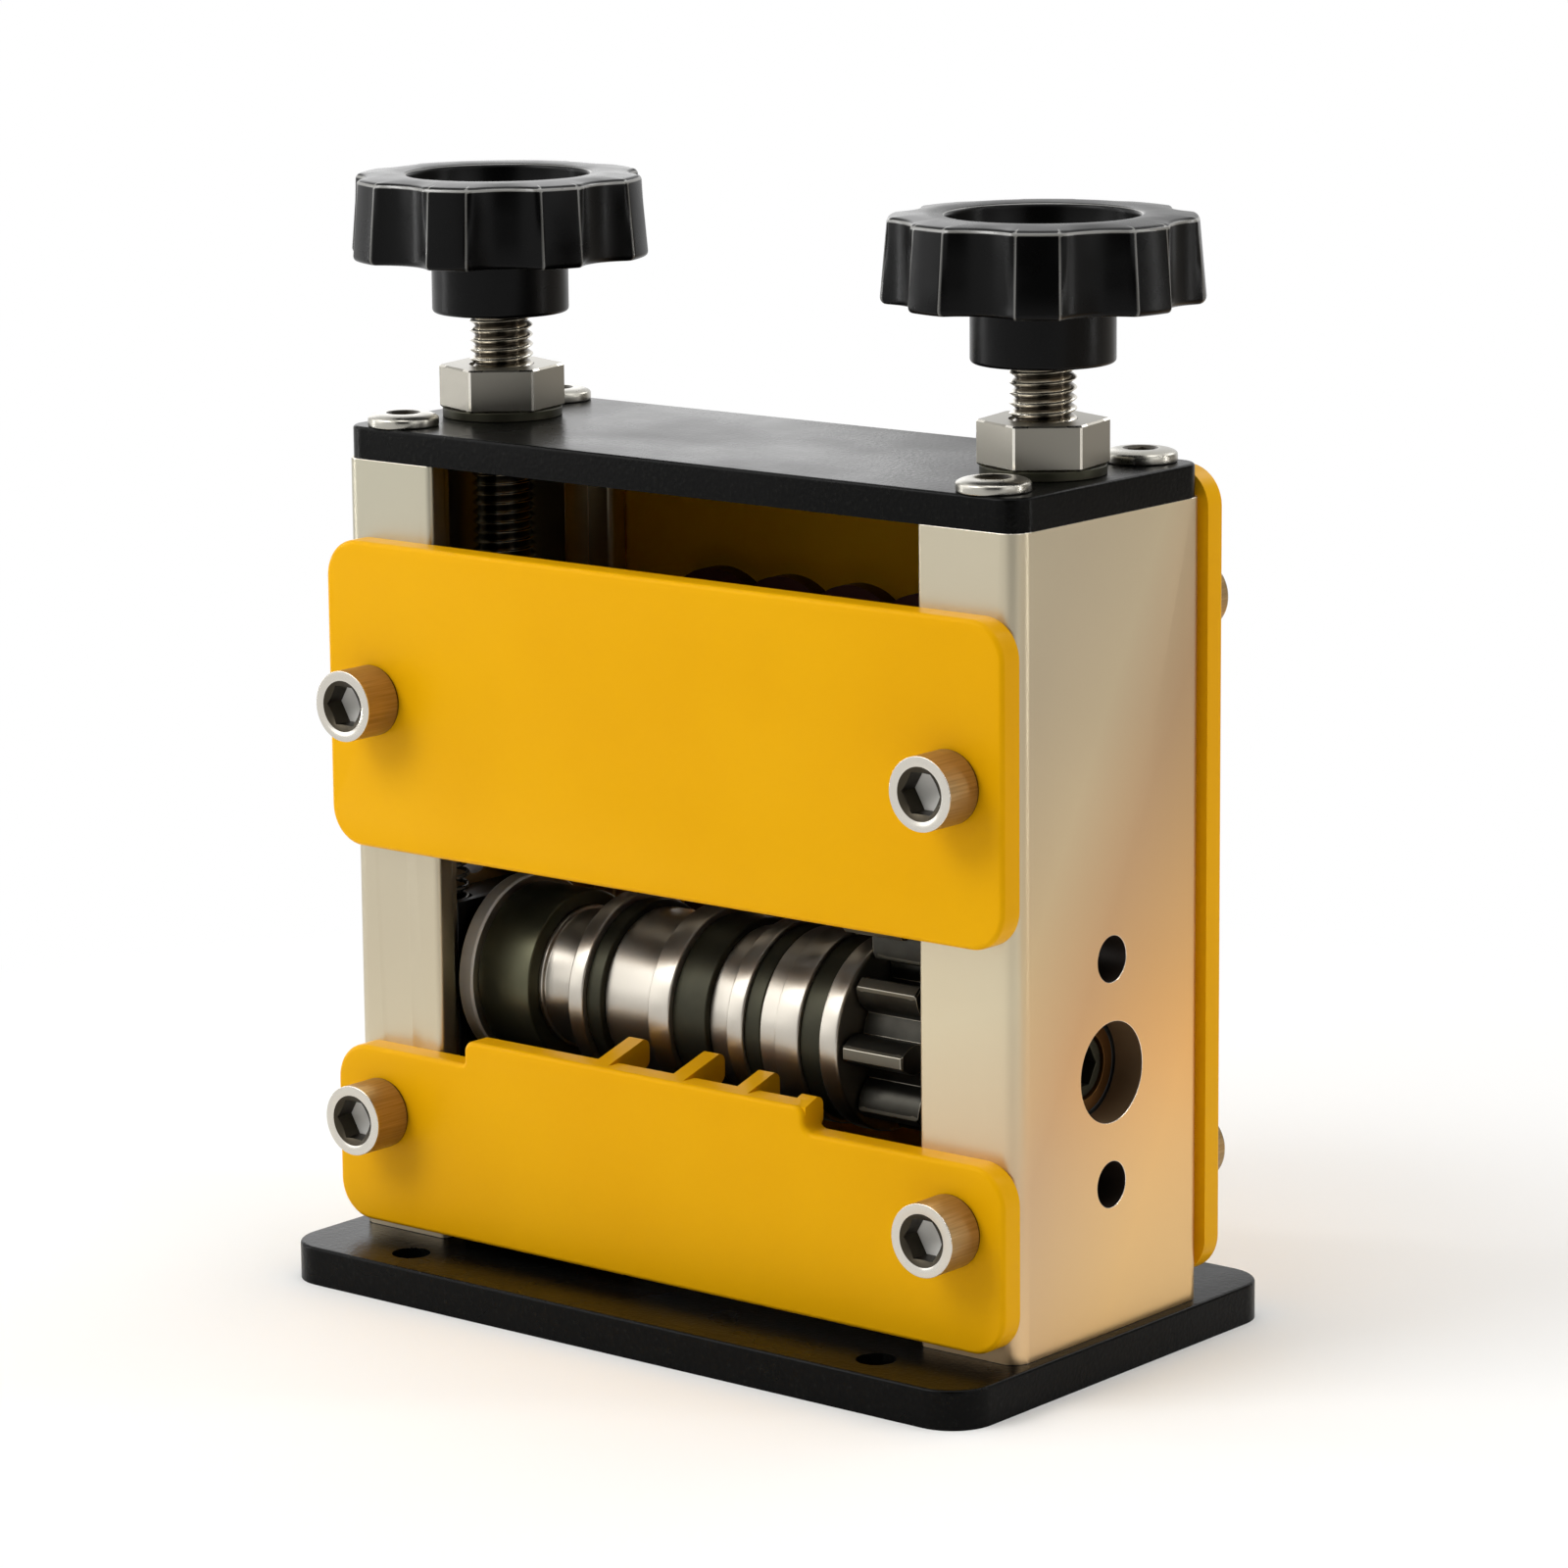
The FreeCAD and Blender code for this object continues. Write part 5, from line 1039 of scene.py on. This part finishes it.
def flag_cloth():
    """Black cloth that takes light away."""
    material = new_material("flag_cloth", "#161616", 0.0, 0.5, Specular_IOR_Level=0.0)[0]
    unseen(material, material.node_tree.nodes["Principled BSDF"].outputs[0])
    return material


def white_world():
    """Dim warm light all round, which the camera, mirrors and glass see as white."""
    world = bpy.data.worlds.new("studio")
    bpy.context.scene.world = world
    world.use_nodes = True
    nodes = world.node_tree.nodes
    dim = nodes["Background"]
    dim.inputs["Color"].default_value = linear("#f6f4f0")
    dim.inputs["Strength"].default_value = WORLD_STRENGTH
    white = add(world, "Background", {"Color": (1, 1, 1, 1), "Strength": 1.0})[0]
    add(world, "MixShader", {0: seen(world), 1: dim.outputs[0], 2: white},
        to=nodes["World Output"].inputs["Surface"])


def softbox(name, place, target, size, watts):
    """A white rectangular lamp that points at its target."""
    lamp = bpy.data.lights.new(name, "AREA")
    lamp.shape = "RECTANGLE"
    lamp.size, lamp.size_y = size
    lamp.energy = watts
    holder = bpy.data.objects.new(name, lamp)
    holder.location = place
    holder.rotation_mode = "QUATERNION"
    holder.rotation_quaternion = (Vector(target) - Vector(place)).to_track_quat("-Z", "Y")
    bpy.context.scene.collection.objects.link(holder)


def camera():
    """A long lens at the front right, turned by yaw, then pitch, then roll about its own line of sight."""
    ahead = Vector((-math.sin(YAW) * math.cos(PITCH), math.cos(YAW) * math.cos(PITCH), -math.sin(PITCH)))
    across = Vector((math.cos(YAW), math.sin(YAW), 0))
    upward = across.cross(ahead)
    level = across * math.cos(ROLL) + upward * math.sin(ROLL)
    upright = -across * math.sin(ROLL) + upward * math.cos(ROLL)
    lens = bpy.data.cameras.new("camera")
    lens.sensor_width = SENSOR_MM
    lens.lens = SENSOR_MM * FOCAL_PIXELS / FRAME_PIXELS
    lens.clip_start, lens.clip_end = 0.05, 20
    holder = bpy.data.objects.new("camera", lens)
    turn = Matrix((level, upright, -ahead)).transposed().to_4x4()
    holder.matrix_world = Matrix.Translation(CAMERA_PLACE) @ turn
    bpy.context.scene.collection.objects.link(holder)
    bpy.context.scene.camera = holder


side = FLOOR_REACH
panel("floor", [(-side, -side, 0), (side, -side, 0), (side, side, 0), (-side, side, 0)], pale_floor())
upright_panel("camera_flag", (0.75, -0.95), 1.1, 1.2, flag_cloth())
upright_panel("grey_card", (0.75, 0.85), 1.3, 1.0,
              card("grey_card", 1.0, [(0.0, "#a9a49c"), (1.0, "#9f9b94")]))
panel("warm_card", [(x, y, WARM_CARD_HEIGHT) for x, y in WARM_CARD],
      card("warm_card", 1.6, [(0.22, "#dcbb90"), (0.34, "#b0a597"), (0.6, "#a6a19b"), (1.0, "#9c9892")]))
white_world()
for lamp in LAMPS:
    softbox(*lamp)
camera()
bpy.context.scene.view_settings.view_transform = "Standard"
